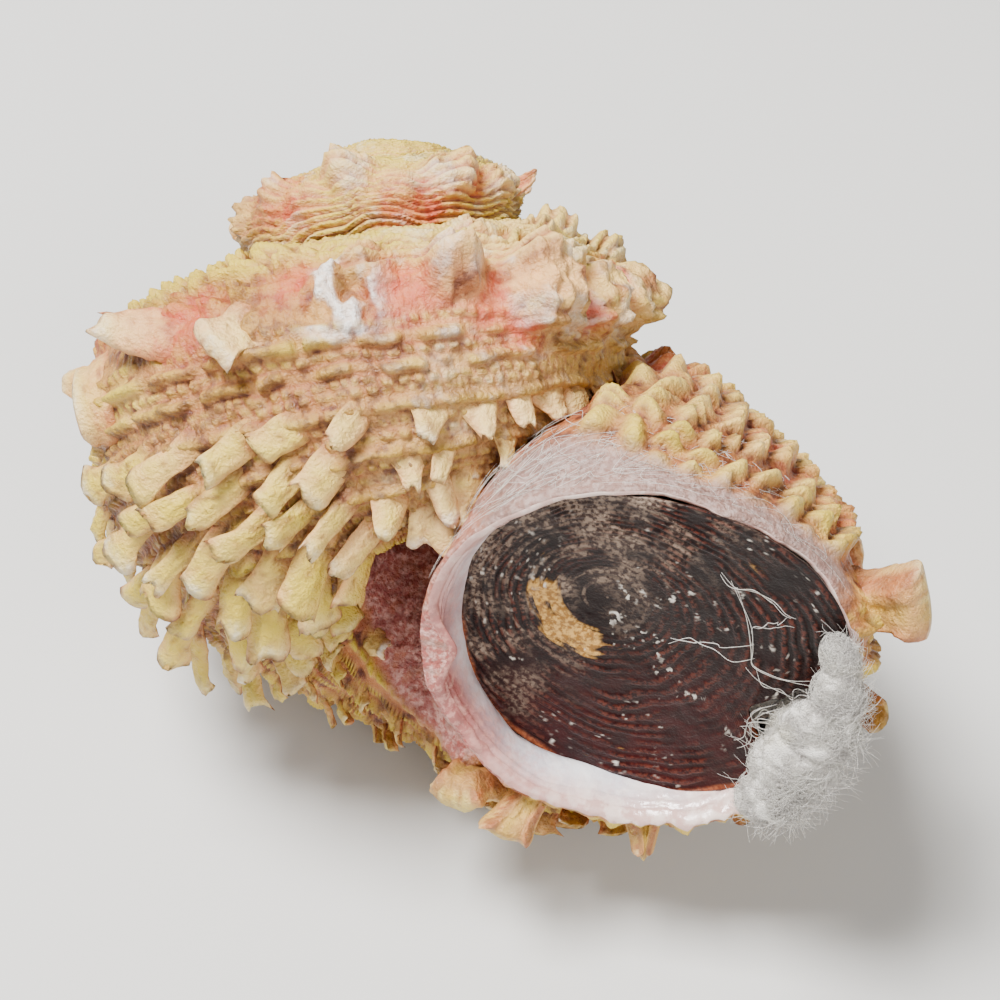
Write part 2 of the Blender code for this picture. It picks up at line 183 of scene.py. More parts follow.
@dataclass(frozen=True)
class Coil:
    """The growth of the tube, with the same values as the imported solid."""

    # How many times larger the tube is after each turn, and where its middle is at the mouth.
    turn_growth: float = 1.936
    axis_distance: float = 17.74
    axis_depth: float = 44.34
    # Its half width there, how tall it is against that, and how its section tilts.
    tube_radius: float = 12.9
    tube_tall: float = 1.33
    slant: float = 10.9
    roll: float = -25.8
    # The first whorls lie flatter: how deep they stay, and between which turns that fades.
    flat_top: float = 0.22
    flat_start: float = -1.3
    flat_end: float = -1.95
    flat_tall: float = 0.95
    # In its last part the tube leaves the spiral, rounds off and turns its mouth forward.
    flare_turns: float = 0.17
    flare_out: float = 2.0
    flare_drop: float = -0.5
    flare_forward: float = 1.07
    flare_slant: float = 29.3
    flare_twist: float = 16.5
    flare_roll: float = -8.5
    flare_swell: float = 0.12
    flare_rounding: float = 0.6
    # A push that squares the end of the tube to the plane of the mouth.
    square_turns: float = 0.14
    square_push: Triple = (20.9, 27.3, -41.9)
    # Height, middle and half width in degrees of two keels and a hollow, and the inner lip's swell.
    keels: tuple[Triple, ...] = ((0.035, 46.0, 14.0), (0.045, -112.0, 14.0), (-0.03, 84.0, 20.0))
    callus_swell: float = 0.08
    # Thickness of the shell in the corner above the mouth, at the lip and inside, and of the nacre.
    fillet_thick: float = 3.2
    lip_wall: float = 0.9
    inner_wall: float = 1.5
    nacre_pad: float = 2.4
    # Scales and beads grow more slowly than the tube.
    detail_size: float = 1.2
    detail_growth: float = 0.45
    spacing_growth: float = 0.5

    def detail(self, turn: Array | float) -> Array | float:
        """Size of the scales and beads at a turn."""
        return self.turn_growth ** (self.detail_growth * turn) * self.detail_size

    def spacing(self, turn: Array) -> Array:
        """Length grown up to a turn, in units in which the beads stand evenly."""
        grown = self.turn_growth ** (self.spacing_growth * turn)
        return grown / (self.spacing_growth * math.log(self.turn_growth))

    def frames(self, turn: Array) -> tuple[Array, ...]:
        """The tube's middle and directions at each turn.

        Args:
            turn: turns.

        Returns:
            Centres, outward and apexward directions, sizes and flares.
        """
        size = self.turn_growth**turn
        sweep = -turn * math.tau
        none = np.zeros_like(turn)
        radial = np.stack([np.cos(sweep), np.sin(sweep), none], -1)
        forward = np.stack([np.sin(sweep), -np.cos(sweep), none], -1)
        axis = np.array((0.0, 0.0, 1.0))
        flare = ease((turn + self.flare_turns) / self.flare_turns)
        depth = self.axis_depth * (size**6 + self.flat_top**6) ** (1.0 / 6.0)
        centre = radial * (self.axis_distance * size + self.flare_out * flare)[..., None]
        centre = centre + axis * (self.flare_drop * flare - depth)[..., None]
        centre = centre + forward * (self.flare_forward * flare)[..., None]
        square = turn * np.maximum(0.0, 1.0 + turn / self.square_turns) ** 2
        centre = centre + np.array(self.square_push) * square[..., None]
        slant = np.radians(self.slant + self.flare_slant * flare)[..., None]
        twist = np.radians(self.flare_twist * flare)[..., None]
        roll = np.radians(self.roll + self.flare_roll * flare)[..., None]
        upward = axis * np.cos(slant) + forward * np.sin(slant)
        outward = radial * np.cos(twist) + np.cross(upward, radial) * np.sin(twist)
        rolled = outward * np.cos(roll) + upward * np.sin(roll)
        return centre, rolled, upward * np.cos(roll) - outward * np.sin(roll), size, flare

    def fillet(self, turn: Array, angle: Array) -> Array:
        """Thickness of the shell that fills the corner above the mouth."""
        height = ease((turn + 0.22) / 0.1) * ease((-0.004 - turn) / 0.045)
        return self.fillet_thick * height * bump(angle, 135.0, 34.0)

    def wall(self, turn: Array, angle: Array) -> Array:
        """Thickness of the shell: thin at the lip, and padded with nacre inside the lower lip.

        Args:
            turn: turns.
            angle: angles round the tube, in degrees.

        Returns:
            The thickness at each place.
        """
        inside = ease((-turn - 0.06) / 0.05)
        plain = self.lip_wall + (self.inner_wall - self.lip_wall) * inside
        plain = plain * self.turn_growth ** (0.5 * turn)
        nacre = self.nacre_pad * bump(angle, -80.0, 60.0) * ease(-turn / 0.05)
        return plain + nacre + self.fillet(turn, angle)

    def point(self, turn: Array, angle: Array, inset: Array | float = 0.0) -> Array:
        """Points of the smooth tube.

        Args:
            turn: turns.
            angle: angles round the tube, in degrees.
            inset: how far below the outer surface each point lies.

        Returns:
            Their places in the shell's frame.
        """
        centre, outward, upward, size, flare = self.frames(turn)
        outline = 1.0
        for height, middle, half_width in self.keels:
            outline = outline + height * bump(angle, middle, half_width)
        outline = outline + (1.0 - outline) * self.flare_rounding * flare
        outline = outline + self.callus_swell * flare * bump(angle, 165.0, 50.0)
        radius = self.tube_radius * size * (1.0 + self.flare_swell * flare) * outline
        radius = radius + self.fillet(turn, angle)
        tall = self.tube_tall + (1.0 - self.tube_tall) * flare
        flat = ease((turn - self.flat_start) / (self.flat_end - self.flat_start))
        phase = np.radians(angle)
        tall = tall + np.where(np.sin(phase) > 0.0, (self.flat_tall - self.tube_tall) * flat, 0.0)
        across = ((radius - inset) * np.cos(phase))[..., None]
        along = ((radius * tall - inset) * np.sin(phase))[..., None]
        return centre + outward * across + upward * along

    def axes(self, turn: Array, angle: Array) -> tuple[Array, Array, Array]:
        """Directions on the smooth tube, from its slope over a short step.

        Args:
            turn: turns.
            angle: angles round the tube, in degrees.

        Returns:
            The directions of growth, towards the base, and outward.
        """
        step, degree = 0.002, 1.0
        growth = unit(self.point(turn + step, angle) - self.point(turn - step, angle))
        base = unit(self.point(turn, angle - degree) - self.point(turn, angle + degree))
        normal = unit(np.cross(base, growth))
        inward = np.sum(normal * (self.point(turn, angle) - self.frames(turn)[0]), -1) < 0.0
        return growth, base, np.where(inward[..., None], -normal, normal)


@dataclass(frozen=True)
class Resting:
    """How the shell lies, mouth up, on the worn tips of the spines of its back."""

    # In the shell's frame, the scene's upward direction and the way to the camera; then the shift
    # in millimetres, and the height below which points are pressed flat against the floor.
    up: Triple = (0.443, -0.689, 0.574)
    front: Triple = (0.508, -0.86, -0.051)
    place: Triple = (-7.041, 25.731, 44.27)
    squash: float = 0.35

    def matrix(self) -> Matrix:
        """The turn and the shift that lay the shell on the floor.

        Returns:
            The matrix, from the shell's frame in metres.
        """
        up = Vector(self.up).normalized()
        front = Vector(self.front)
        back = -(front - up * front.dot(up)).normalized()
        turned = Matrix((back.cross(up), back, up)).to_4x4()
        return Matrix.Translation(Vector(self.place) * MM) @ turned

    def lay(self, points: Array) -> Array:
        """Points of the shell on the floor, those near it or below it pressed softly flat.

        Args:
            points: places in the shell's frame, in millimetres.

        Returns:
            Places in the scene, in metres.
        """
        matrix = np.array(self.matrix())
        laid = points @ matrix[:3, :3].T * MM + matrix[:3, 3]
        low = self.squash * MM
        squashed = low * np.exp(np.minimum(laid[..., 2] / low - 1.0, 0.0))
        laid[..., 2] = np.where(laid[..., 2] < low, squashed, laid[..., 2])
        return laid


COIL = Coil()
REST = Resting()


def linear(colour: str) -> tuple[float, float, float, float]:
    """A hex colour as the linear light that a shader takes.

    Args:
        colour: sRGB as six hex digits.

    Returns:
        Red, green, blue and a full alpha.
    """
    parts = [int(colour[start : start + 2], 16) / 255.0 for start in (0, 2, 4)]
    light = [part / 12.92 if part <= 0.04045 else ((part + 0.055) / 1.055) ** 2.4 for part in parts]
    return (*light, 1.0)


def add_node(
    tree: NodeTree, kind: str, inputs: dict | None = None, **settings: str | bool
) -> bpy.types.Node:
    """Add a node with its settings and links.

    Args:
        tree: the material's nodes.
        kind: the node's type, without the words that all of them start with.
        inputs: a socket to link, or a value to set, for each input by name or number.
        settings: properties to set on it.

    Returns:
        The node.
    """
    node = tree.nodes.new("ShaderNode" + kind)
    for key, value in settings.items():
        setattr(node, key, value)
    for key, value in (inputs or {}).items():
        if isinstance(value, NodeSocket):
            tree.links.new(value, node.inputs[key])
        else:
            node.inputs[key].default_value = value
    return node


@dataclass(frozen=True)
class Finish:
    """What every finish has: a name, a shader and noise of a real size on the object."""

    name: str

    def start(self) -> tuple[Material, NodeTree, NodeSocket]:
        """Begin a material.

        Returns:
            The material, its nodes and its object coordinates.
        """
        material = bpy.data.materials.new(self.name)
        material.use_nodes = True
        tree = material.node_tree
        return material, tree, add_node(tree, "TexCoord").outputs["Object"]

    def speckle(
        self, tree: NodeTree, place: NodeSocket, size: float, low: float, high: float
    ) -> NodeSocket:
        """A patchy mask made of noise.

        Args:
            tree: the material's nodes.
            place: the coordinates.
            size: width of a patch in millimetres.
            low: noise that is 0 in the mask.
            high: noise that is 1 in it.

        Returns:
            The mask's socket.
        """
        noise = add_node(
            tree,
            "TexNoise",
            {"Vector": place, "Scale": 1.0 / (size * MM), "Detail": 5.0, "Roughness": 0.6},
        )
        limits = {0: noise.outputs["Fac"], 1: low, 2: high}
        spread = add_node(tree, "MapRange", limits, interpolation_type="SMOOTHSTEP")
        return spread.outputs[0]

    def paint(self, tree: NodeTree, ground: str, layers: list[tuple]) -> NodeSocket:
        """Lay colours over a ground, each where all of its masks hold.

        Args:
            tree: the material's nodes.
            ground: the first colour.
            layers: each colour, how strongly it covers, and its masks.

        Returns:
            The colour's socket.
        """
        below: NodeSocket | tuple = linear(ground)
        for colour, strength, *masks in layers:
            share = masks[0]
            for factor in (*masks[1:], strength):
                both = {0: share, 1: factor}
                product = add_node(tree, "Math", both, operation="MULTIPLY", use_clamp=True)
                share = product.outputs[0]
            cover = {0: share, 6: below, 7: linear(colour)}
            below = add_node(tree, "Mix", cover, data_type="RGBA").outputs[2]
        return below

    def masks(self, tree: NodeTree, *names: str) -> list[NodeSocket]:
        """Sockets of the masks that are painted on the mesh."""
        return [add_node(tree, "Attribute", attribute_name=name).outputs["Fac"] for name in names]

    def grain(
        self,
        tree: NodeTree,
        place: NodeSocket,
        width: float,
        detail: float,
        strength: float,
        depth: float,
    ) -> NodeSocket:
        """Fine relief made of noise.

        Args:
            tree: the material's nodes.
            place: the coordinates.
            width: width of a grain in millimetres.
            detail: how many finer layers it has.
            strength: how strongly it shows.
            depth: its depth in metres.

        Returns:
            The normal's socket.
        """
        noise = add_node(
            tree, "TexNoise", {"Vector": place, "Scale": 1.0 / (width * MM), "Detail": detail}
        )
        relief = add_node(
            tree, "Bump", {"Strength": strength, "Distance": depth, "Height": noise.outputs["Fac"]}
        )
        return relief.outputs["Normal"]

    def dress(
        self,
        material: Material,
        values: dict[str, float | Triple],
        colour: NodeSocket,
        normal: NodeSocket | None = None,
        roughness: NodeSocket | None = None,
    ) -> Material:
        """Wire the shader and set what is the same all over.

        Args:
            material: the material.
            values: a value for each input that does not vary.
            colour: the colour's socket.
            normal: the relief's socket.
            roughness: the roughness's socket, where it varies.

        Returns:
            The finished material.
        """
        shader = material.node_tree.nodes["Principled BSDF"]
        links = {"Base Color": colour, "Normal": normal, "Roughness": roughness}
        for name, socket in links.items():
            if socket:
                material.node_tree.links.new(socket, shader.inputs[name])
        for name, value in values.items():
            shader.inputs[name].default_value = value
        return material


@dataclass(frozen=True)
class ScalyCalcite(Finish):
    """The shell's outer layers: pink, cream and yellow matt calcite, red-brown pits and painted
    shade.
    """

    name: str = "scaly calcite shell"
    # The ground between the cords, from the pink side to the olive one.
    pink_tan: str = "C87F48"
    ochre: str = "A8623A"
    salmon: str = "EA9C66"
    olive: str = "9A7E45"
    sand: str = "D7A26A"
    grit_brown: str = "9C5630"
    # The raised cords and scales, also painted as light on the scales' tops and on the older whorl.
    cream: str = "EBC67C"
    pale_cream: str = "F8D4A0"
    cord_yellow: str = "CDB12C"
    # Pits between them, also painted as shade in hollows, creases and round blade roots, and red
    # blotches.
    pit_and_shade_rust: str = "8A4122"
    pit_and_shade_brown: str = "48160A"
    blotch_red: str = "AE3B28"
    blotch_coral: str = "C85C38"
    # The wall of the umbilicus and the band behind the lip.
    rose: str = "A65650"
    rose_pale: str = "DCAA9E"
    rose_dark: str = "7A2A2A"
    lilac_grey: str = "8A6E66"
    lilac_pale: str = "BCA49C"
    lilac_dark: str = "7A5C54"
    # Where the outer layer is worn through to chalk.
    worn_white: str = "EFE4D8"
    chalk: str = "FFFDF8"
    fine_patch: Patch = (0.45, 0.42, 0.62)
    broad_patch: Patch = (2.6, 0.38, 0.66)
    vein_patch: Patch = (1.1, 0.45, 0.6)
    grit_patch: Patch = (0.7, 0.52, 0.62)
    # Widths in millimetres of the chalky grain and of the pores. Real grain is finer than a pixel
    # here, so it is drawn as coarse as it needs to show.
    grain_width: float = 0.22
    pore_width: float = 0.55

    def material(self) -> Material:
        """Dress the outer layers: chalky to the eye, a little glossy where growth rubbed it.

        Returns:
            The material.
        """
        material, tree, place = self.start()
        crest, pit_and_shade, yellow, red, worn, rose, lilac, olive, pink = self.masks(
            tree, "crest", "pit_and_shade", "yellow", "red", "worn", "rose", "lilac", "olive", "pink"
        )
        fine, broad, veins, grit = (
            self.speckle(tree, place, *patch)
            for patch in (self.fine_patch, self.broad_patch, self.vein_patch, self.grit_patch)
        )
        colour = self.paint(
            tree,
            self.pink_tan,
            [
                (self.ochre, 0.4, broad),
                (self.salmon, 0.85, pink),
                (self.olive, 0.5, olive),
                (self.sand, 0.35, fine),
                (self.grit_brown, 0.4, grit),
                (self.cream, 0.8, crest),
                (self.pale_cream, 0.65, crest, pink),
                (self.cord_yellow, 0.95, crest, yellow),
                # The pit colours, laid also as painted shade in hollows, creases and round blade
                # roots.
                (self.pit_and_shade_rust, 0.85, pit_and_shade),
                (self.pit_and_shade_brown, 0.85, pit_and_shade, veins),
                (self.blotch_red, 0.9, red, veins),
                (self.blotch_coral, 0.7, red),
                (self.rose, 0.9, rose),
                (self.rose_pale, 0.85, rose, fine),
                (self.rose_dark, 0.5, rose, veins),
                (self.lilac_grey, 0.9, lilac),
                (self.lilac_pale, 0.6, lilac, fine),
                (self.lilac_dark, 0.5, lilac, broad),
                (self.worn_white, 0.7, worn),
                (self.chalk, 0.6, worn, fine),
            ],
        )
        gloss = add_node(tree, "MapRange", {0: fine, 3: 0.42, 4: 0.7})
        grain = add_node(
            tree,
            "TexNoise",
            {"Vector": place, "Scale": 1.0 / (self.grain_width * MM), "Detail": 6.0},
        )
        pores = add_node(
            tree, "TexVoronoi", {"Vector": place, "Scale": 1.0 / (self.pore_width * MM)}
        )
        deep = {0: pores.outputs["Distance"], 1: 0.55, 2: grain.outputs["Fac"]}
        rough = add_node(tree, "Math", deep, operation="MULTIPLY_ADD")
        relief = add_node(
            tree, "Bump", {"Strength": 0.7, "Distance": 0.0003, "Height": rough.outputs[0]}
        )
        # Calcite's IOR is 1.49 to 1.66 with its grain, and light sinks a little way into it.
        values = {
            "IOR": 1.53,
            "Subsurface Weight": 0.04,
            "Subsurface Radius": (1.0, 0.55, 0.4),
            "Subsurface Scale": 0.0006,
        }
        return self.dress(material, values, colour, relief.outputs["Normal"], gloss.outputs[0])


@dataclass(frozen=True)
class Nacre(Finish):
    """Mother of pearl inside the lip: smooth, white and glossy, with faint pastel clouds."""

    name: str = "nacre"
    pearl: str = "EDEDEF"
    cloud_blue: str = "CBD0DA"
    cloud_white: str = "F6F4F2"
    blush: str = "DCCBD2"
    rim_tan: str = "C48C76"
    rim_pale: str = "EDDCD0"
    coral: str = "A34A42"
    coral_grey: str = "8A5650"
    coral_pale: str = "CF9587"
    # Painted shade deep inside the mouth.
    depth_shade: str = "6E5A55"
    wide_patch: Patch = (3.2, 0.4, 0.62)
    narrow_patch: Patch = (1.3, 0.45, 0.6)
    fine_patch: Patch = (0.5, 0.45, 0.62)
    swell_width: float = 0.9

    def material(self) -> Material:
        """Dress the lining: wet-looking to the eye, duller where the snail's body rubbed it.

        Returns:
            The material.
        """
        material, tree, place = self.start()
        coral, rim, deep = self.masks(tree, "coral", "rim", "deep")
        wide, narrow, fine = (
            self.speckle(tree, place, *patch)
            for patch in (self.wide_patch, self.narrow_patch, self.fine_patch)
        )
        colour = self.paint(
            tree,
            self.pearl,
            [
                (self.cloud_blue, 0.6, wide),
                (self.cloud_white, 0.7, narrow),
                (self.blush, 0.5, wide, fine),
                (self.rim_tan, 0.75, rim),
                (self.rim_pale, 0.6, rim, narrow),
                (self.coral, 0.95, coral),
                (self.coral_grey, 0.6, coral, wide),
                (self.coral_pale, 0.65, coral, fine),
                (self.depth_shade, 0.8, deep),
            ],
        )
        gloss = add_node(tree, "MapRange", {0: narrow, 3: 0.2, 4: 0.36})
        duller = {0: coral, 1: 0.35, 2: gloss.outputs[0]}
        matt = add_node(tree, "Math", duller, operation="MULTIPLY_ADD")
        relief = self.grain(tree, place, self.swell_width, 3.0, 0.35, 0.0004)
        # Nacre is stacked aragonite plates, which give it a higher IOR and a thin second gloss.
        values = {"IOR": 1.56, "Coat Weight": 0.2, "Coat Roughness": 0.12}
        return self.dress(material, values, colour, relief, matt.outputs[0])


@dataclass(frozen=True)
class DarkHorn(Finish):
    """The lid's conchiolin: dark red-brown horn, waxy where clean and matt where dusty."""

    name: str = "dark horn"
    maroon: str = "150605"
    wine_red: str = "33090A"
    near_black: str = "0F0505"
    # Lighter brown along the ring crests: painted highlights of the glossy growth rings.
    ring_highlight_brown: str = "6A3325"
    dust_brown: str = "4A3730"
    dust_grey: str = "94806F"
    amber_brown: str = "8A4527"
    amber_pale: str = "B5683C"
    crust_brown: str = "96692F"
    crust_gold: str = "D3A55C"
    speck_white: str = "D8D0C4"
    fine_patch: Patch = (0.35, 0.42, 0.6)
    broad_patch: Patch = (1.6, 0.4, 0.62)
    # Width of the horn's grain in millimetres, as coarse as it needs to show.
    grain_width: float = 0.18

    def material(self) -> Material:
        """Dress the lid: nearly black to the eye, with wine red where light gets through.

        Returns:
            The material.
        """
        material, tree, place = self.start()
        dust, residue, ring_highlight, amber, wine, speck = self.masks(
            tree, "dust", "residue", "ring_highlight", "amber", "wine", "speck"
        )
        fine = self.speckle(tree, place, *self.fine_patch)
        broad = self.speckle(tree, place, *self.broad_patch)
        dusty = add_node(tree, "Math", {0: dust, 1: fine}, operation="MULTIPLY")
        colour = self.paint(
            tree,
            self.maroon,
            [
                (self.wine_red, 0.85, wine),
                (self.near_black, 0.6, broad),
                (self.ring_highlight_brown, 0.75, ring_highlight, fine),
                (self.dust_brown, 0.55, dust),
                (self.dust_grey, 0.85, dusty.outputs[0]),
                (self.amber_brown, 0.85, amber),
                (self.amber_pale, 0.6, amber, fine),
                (self.crust_brown, 0.85, residue),
                (self.crust_gold, 0.85, residue, fine),
                (self.speck_white, 0.9, speck, broad),
            ],
        )
        gloss = add_node(tree, "MapRange", {0: dusty.outputs[0], 3: 0.3, 4: 0.75})
        relief = self.grain(tree, place, self.grain_width, 5.0, 0.5, 0.00012)
        # Horn's IOR is about 1.55, and dust on it takes most of the shine away.
        values = {"IOR": 1.55, "Specular IOR Level": 0.15}
        return self.dress(material, values, colour, relief, gloss.outputs[0])


@dataclass(frozen=True)
class CottonFibre(Finish):
    """Bleached cotton: matt white fibres with a soft sheen."""

    name: str = "cotton fibre"
    white: str = "F0EADF"
    shade: str = "CBC2BC"
    stain: str = "D8CFA8"
    shade_patch: Patch = (1.4, 0.38, 0.66)
    stain_patch: Patch = (4.0, 0.5, 0.75)
    # Fibres are 0.01 to 0.02 mm wide, too fine to show, so the fuzz is drawn this coarse.
    fuzz_width: float = 0.12

    def material(self) -> Material:
        """Dress the cotton: soft and dry to the eye.

        Returns:
            The material.
        """
        material, tree, place = self.start()
        cloud = self.speckle(tree, place, *self.shade_patch)
        stain = self.speckle(tree, place, *self.stain_patch)
        colour = self.paint(
            tree, self.white, [(self.shade, 0.55, cloud), (self.stain, 0.45, stain)]
        )
        relief = self.grain(tree, place, self.fuzz_width, 6.0, 0.9, 0.0003)
        values = {"Roughness": 0.9, "Sheen Weight": 0.4, "Sheen Roughness": 0.5}
        return self.dress(material, values, colour, relief)


@dataclass(frozen=True)
class StudioPaper(Finish):
    """The pale matt paper that the shell lies on."""

    name: str = "studio paper"
    pale: str = "D2D0CC"
    shade: str = "CFCDC8"
    shade_patch: Patch = (40.0, 0.3, 0.7)

    def material(self) -> Material:
        """Dress the paper: even and dull to the eye.

        Returns:
            The material.
        """
        material, tree, place = self.start()
        cloud = self.speckle(tree, place, *self.shade_patch)
        colour = self.paint(tree, self.pale, [(self.shade, 0.5, cloud)])
        return self.dress(material, {"Roughness": 0.9}, colour)


@dataclass
class Piece:
    """A mesh in the making, from equal grids whose points are moved by formula."""

    name: str
    along: int
    around: int
    copies: int = 1
    mesh: Mesh = field(init=False)
    u: Array = field(init=False)
    v: Array = field(init=False)

    def __post_init__(self) -> None:
        """Make the flat grids and read where their points are."""
        grid = bmesh.new()
        bmesh.ops.create_grid(grid, x_segments=self.along, y_segments=self.around, size=0.5)
        verts, edges, faces = len(grid.verts), len(grid.edges), len(grid.faces)
        made = 1
        while made < self.copies:
            more = min(made, self.copies - made)
            again = grid.verts[: more * verts] + grid.edges[: more * edges]
            bmesh.ops.duplicate(grid, geom=again + grid.faces[: more * faces])
            made += more
        self.mesh = bpy.data.meshes.new(self.name)
        grid.to_mesh(self.mesh)
        grid.free()
        flat = np.empty(len(self.mesh.vertices) * 3)
        self.mesh.vertices.foreach_get("co", flat)
        flat = flat.reshape(self.copies, -1, 3)
        self.u = flat[..., 0] + 0.5
        self.v = flat[..., 1] + 0.5

    def shape(self, points: Array, masks: dict[str, Array]) -> None:
        """Move the points to their places and keep their masks.

        Args:
            points: places in metres.
            masks: a number from 0 to 1 at each point, by name.
        """
        self.mesh.vertices.foreach_set("co", points.reshape(-1))
        for name, values in masks.items():
            layer = self.mesh.attributes.new(name, "FLOAT", "POINT")
            kept = np.ascontiguousarray(values, dtype=np.float32)
            layer.data.foreach_set("value", kept.reshape(-1))

    def close(self, weld: float = WELD) -> None:
        """Weld the seams, cap open ends and turn the faces outward.

        Args:
            weld: points nearer than this, in metres, become one.
        """
        skin = bmesh.new()
        skin.from_mesh(self.mesh)
        bmesh.ops.remove_doubles(skin, verts=skin.verts, dist=weld)
        rims = [edge for edge in skin.edges if edge.is_boundary]
        caps = bmesh.ops.holes_fill(skin, edges=rims, sides=0)
        bmesh.ops.recalc_face_normals(skin, faces=skin.faces)
        capped = set(caps["faces"])
        for face in skin.faces:
            face.smooth = face not in capped
        for face in capped:
            for edge in face.edges:
                edge.smooth = False
        skin.to_mesh(self.mesh)
        skin.free()

    def object(
        self, node: Node, materials: list[Material], split: str | None = None
    ) -> Object:
        """The finished piece in the scene.

        Args:
            node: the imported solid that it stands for.
            materials: its materials.
            split: a mask whose faces take the second material.

        Returns:
            The object.
        """
        for material in materials:
            self.mesh.materials.append(material)
        if split:
            values = np.empty(len(self.mesh.vertices), dtype=np.float32)
            self.mesh.attributes[split].data.foreach_get("value", values)
            corners = np.empty(len(self.mesh.loops), dtype=np.int32)
            self.mesh.loops.foreach_get("vertex_index", corners)
            starts = np.empty(len(self.mesh.polygons), dtype=np.int32)
            self.mesh.polygons.foreach_get("loop_start", starts)
            second = (values[corners[starts]] > 0.5).astype(np.int32)
            self.mesh.polygons.foreach_set("material_index", second)
        thing = bpy.data.objects.new(self.name, self.mesh)
        bpy.context.scene.collection.objects.link(thing)
        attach(thing, "root")
        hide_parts(node.value)
        LOG.info("%s: %d faces", self.name, len(self.mesh.polygons))
        return thing


class Form(Enum):
    """The kinds of outgrowth: how far the blade curls round and how much it thins to its tip."""

    SCALE = (1.15, 0.6)
    FLUTE = (1.75, 0.75)
    TOOTH = (0.7, 0.7)
    KNUCKLE = (0.5, 0.2)


@dataclass(frozen=True)
class Blade:
    """One scale or spine: where it grows, its size, how it leans, and how it is painted."""

    turn: float
    angle: float
    length: float
    width: float
    thick: float
    lean: float
    rise: float
    tip: float
    form: Form = Form.SCALE
    yellow: float = 0.8
    worn: float = 0.55
    red: float = 0.0


@dataclass(frozen=True)
class Row:
    """A spiral row of scales on one cord."""

    angle: float
    turns: tuple[float, ...]
    length: float
    width: float
    rise: float
    tip: float


def spread(first: float, last: float, gap: float) -> tuple[float, ...]:
    """Turns from first to last, one gap apart."""
    return tuple(first + gap * step for step in range(int((last - first) / gap + 1.001)))


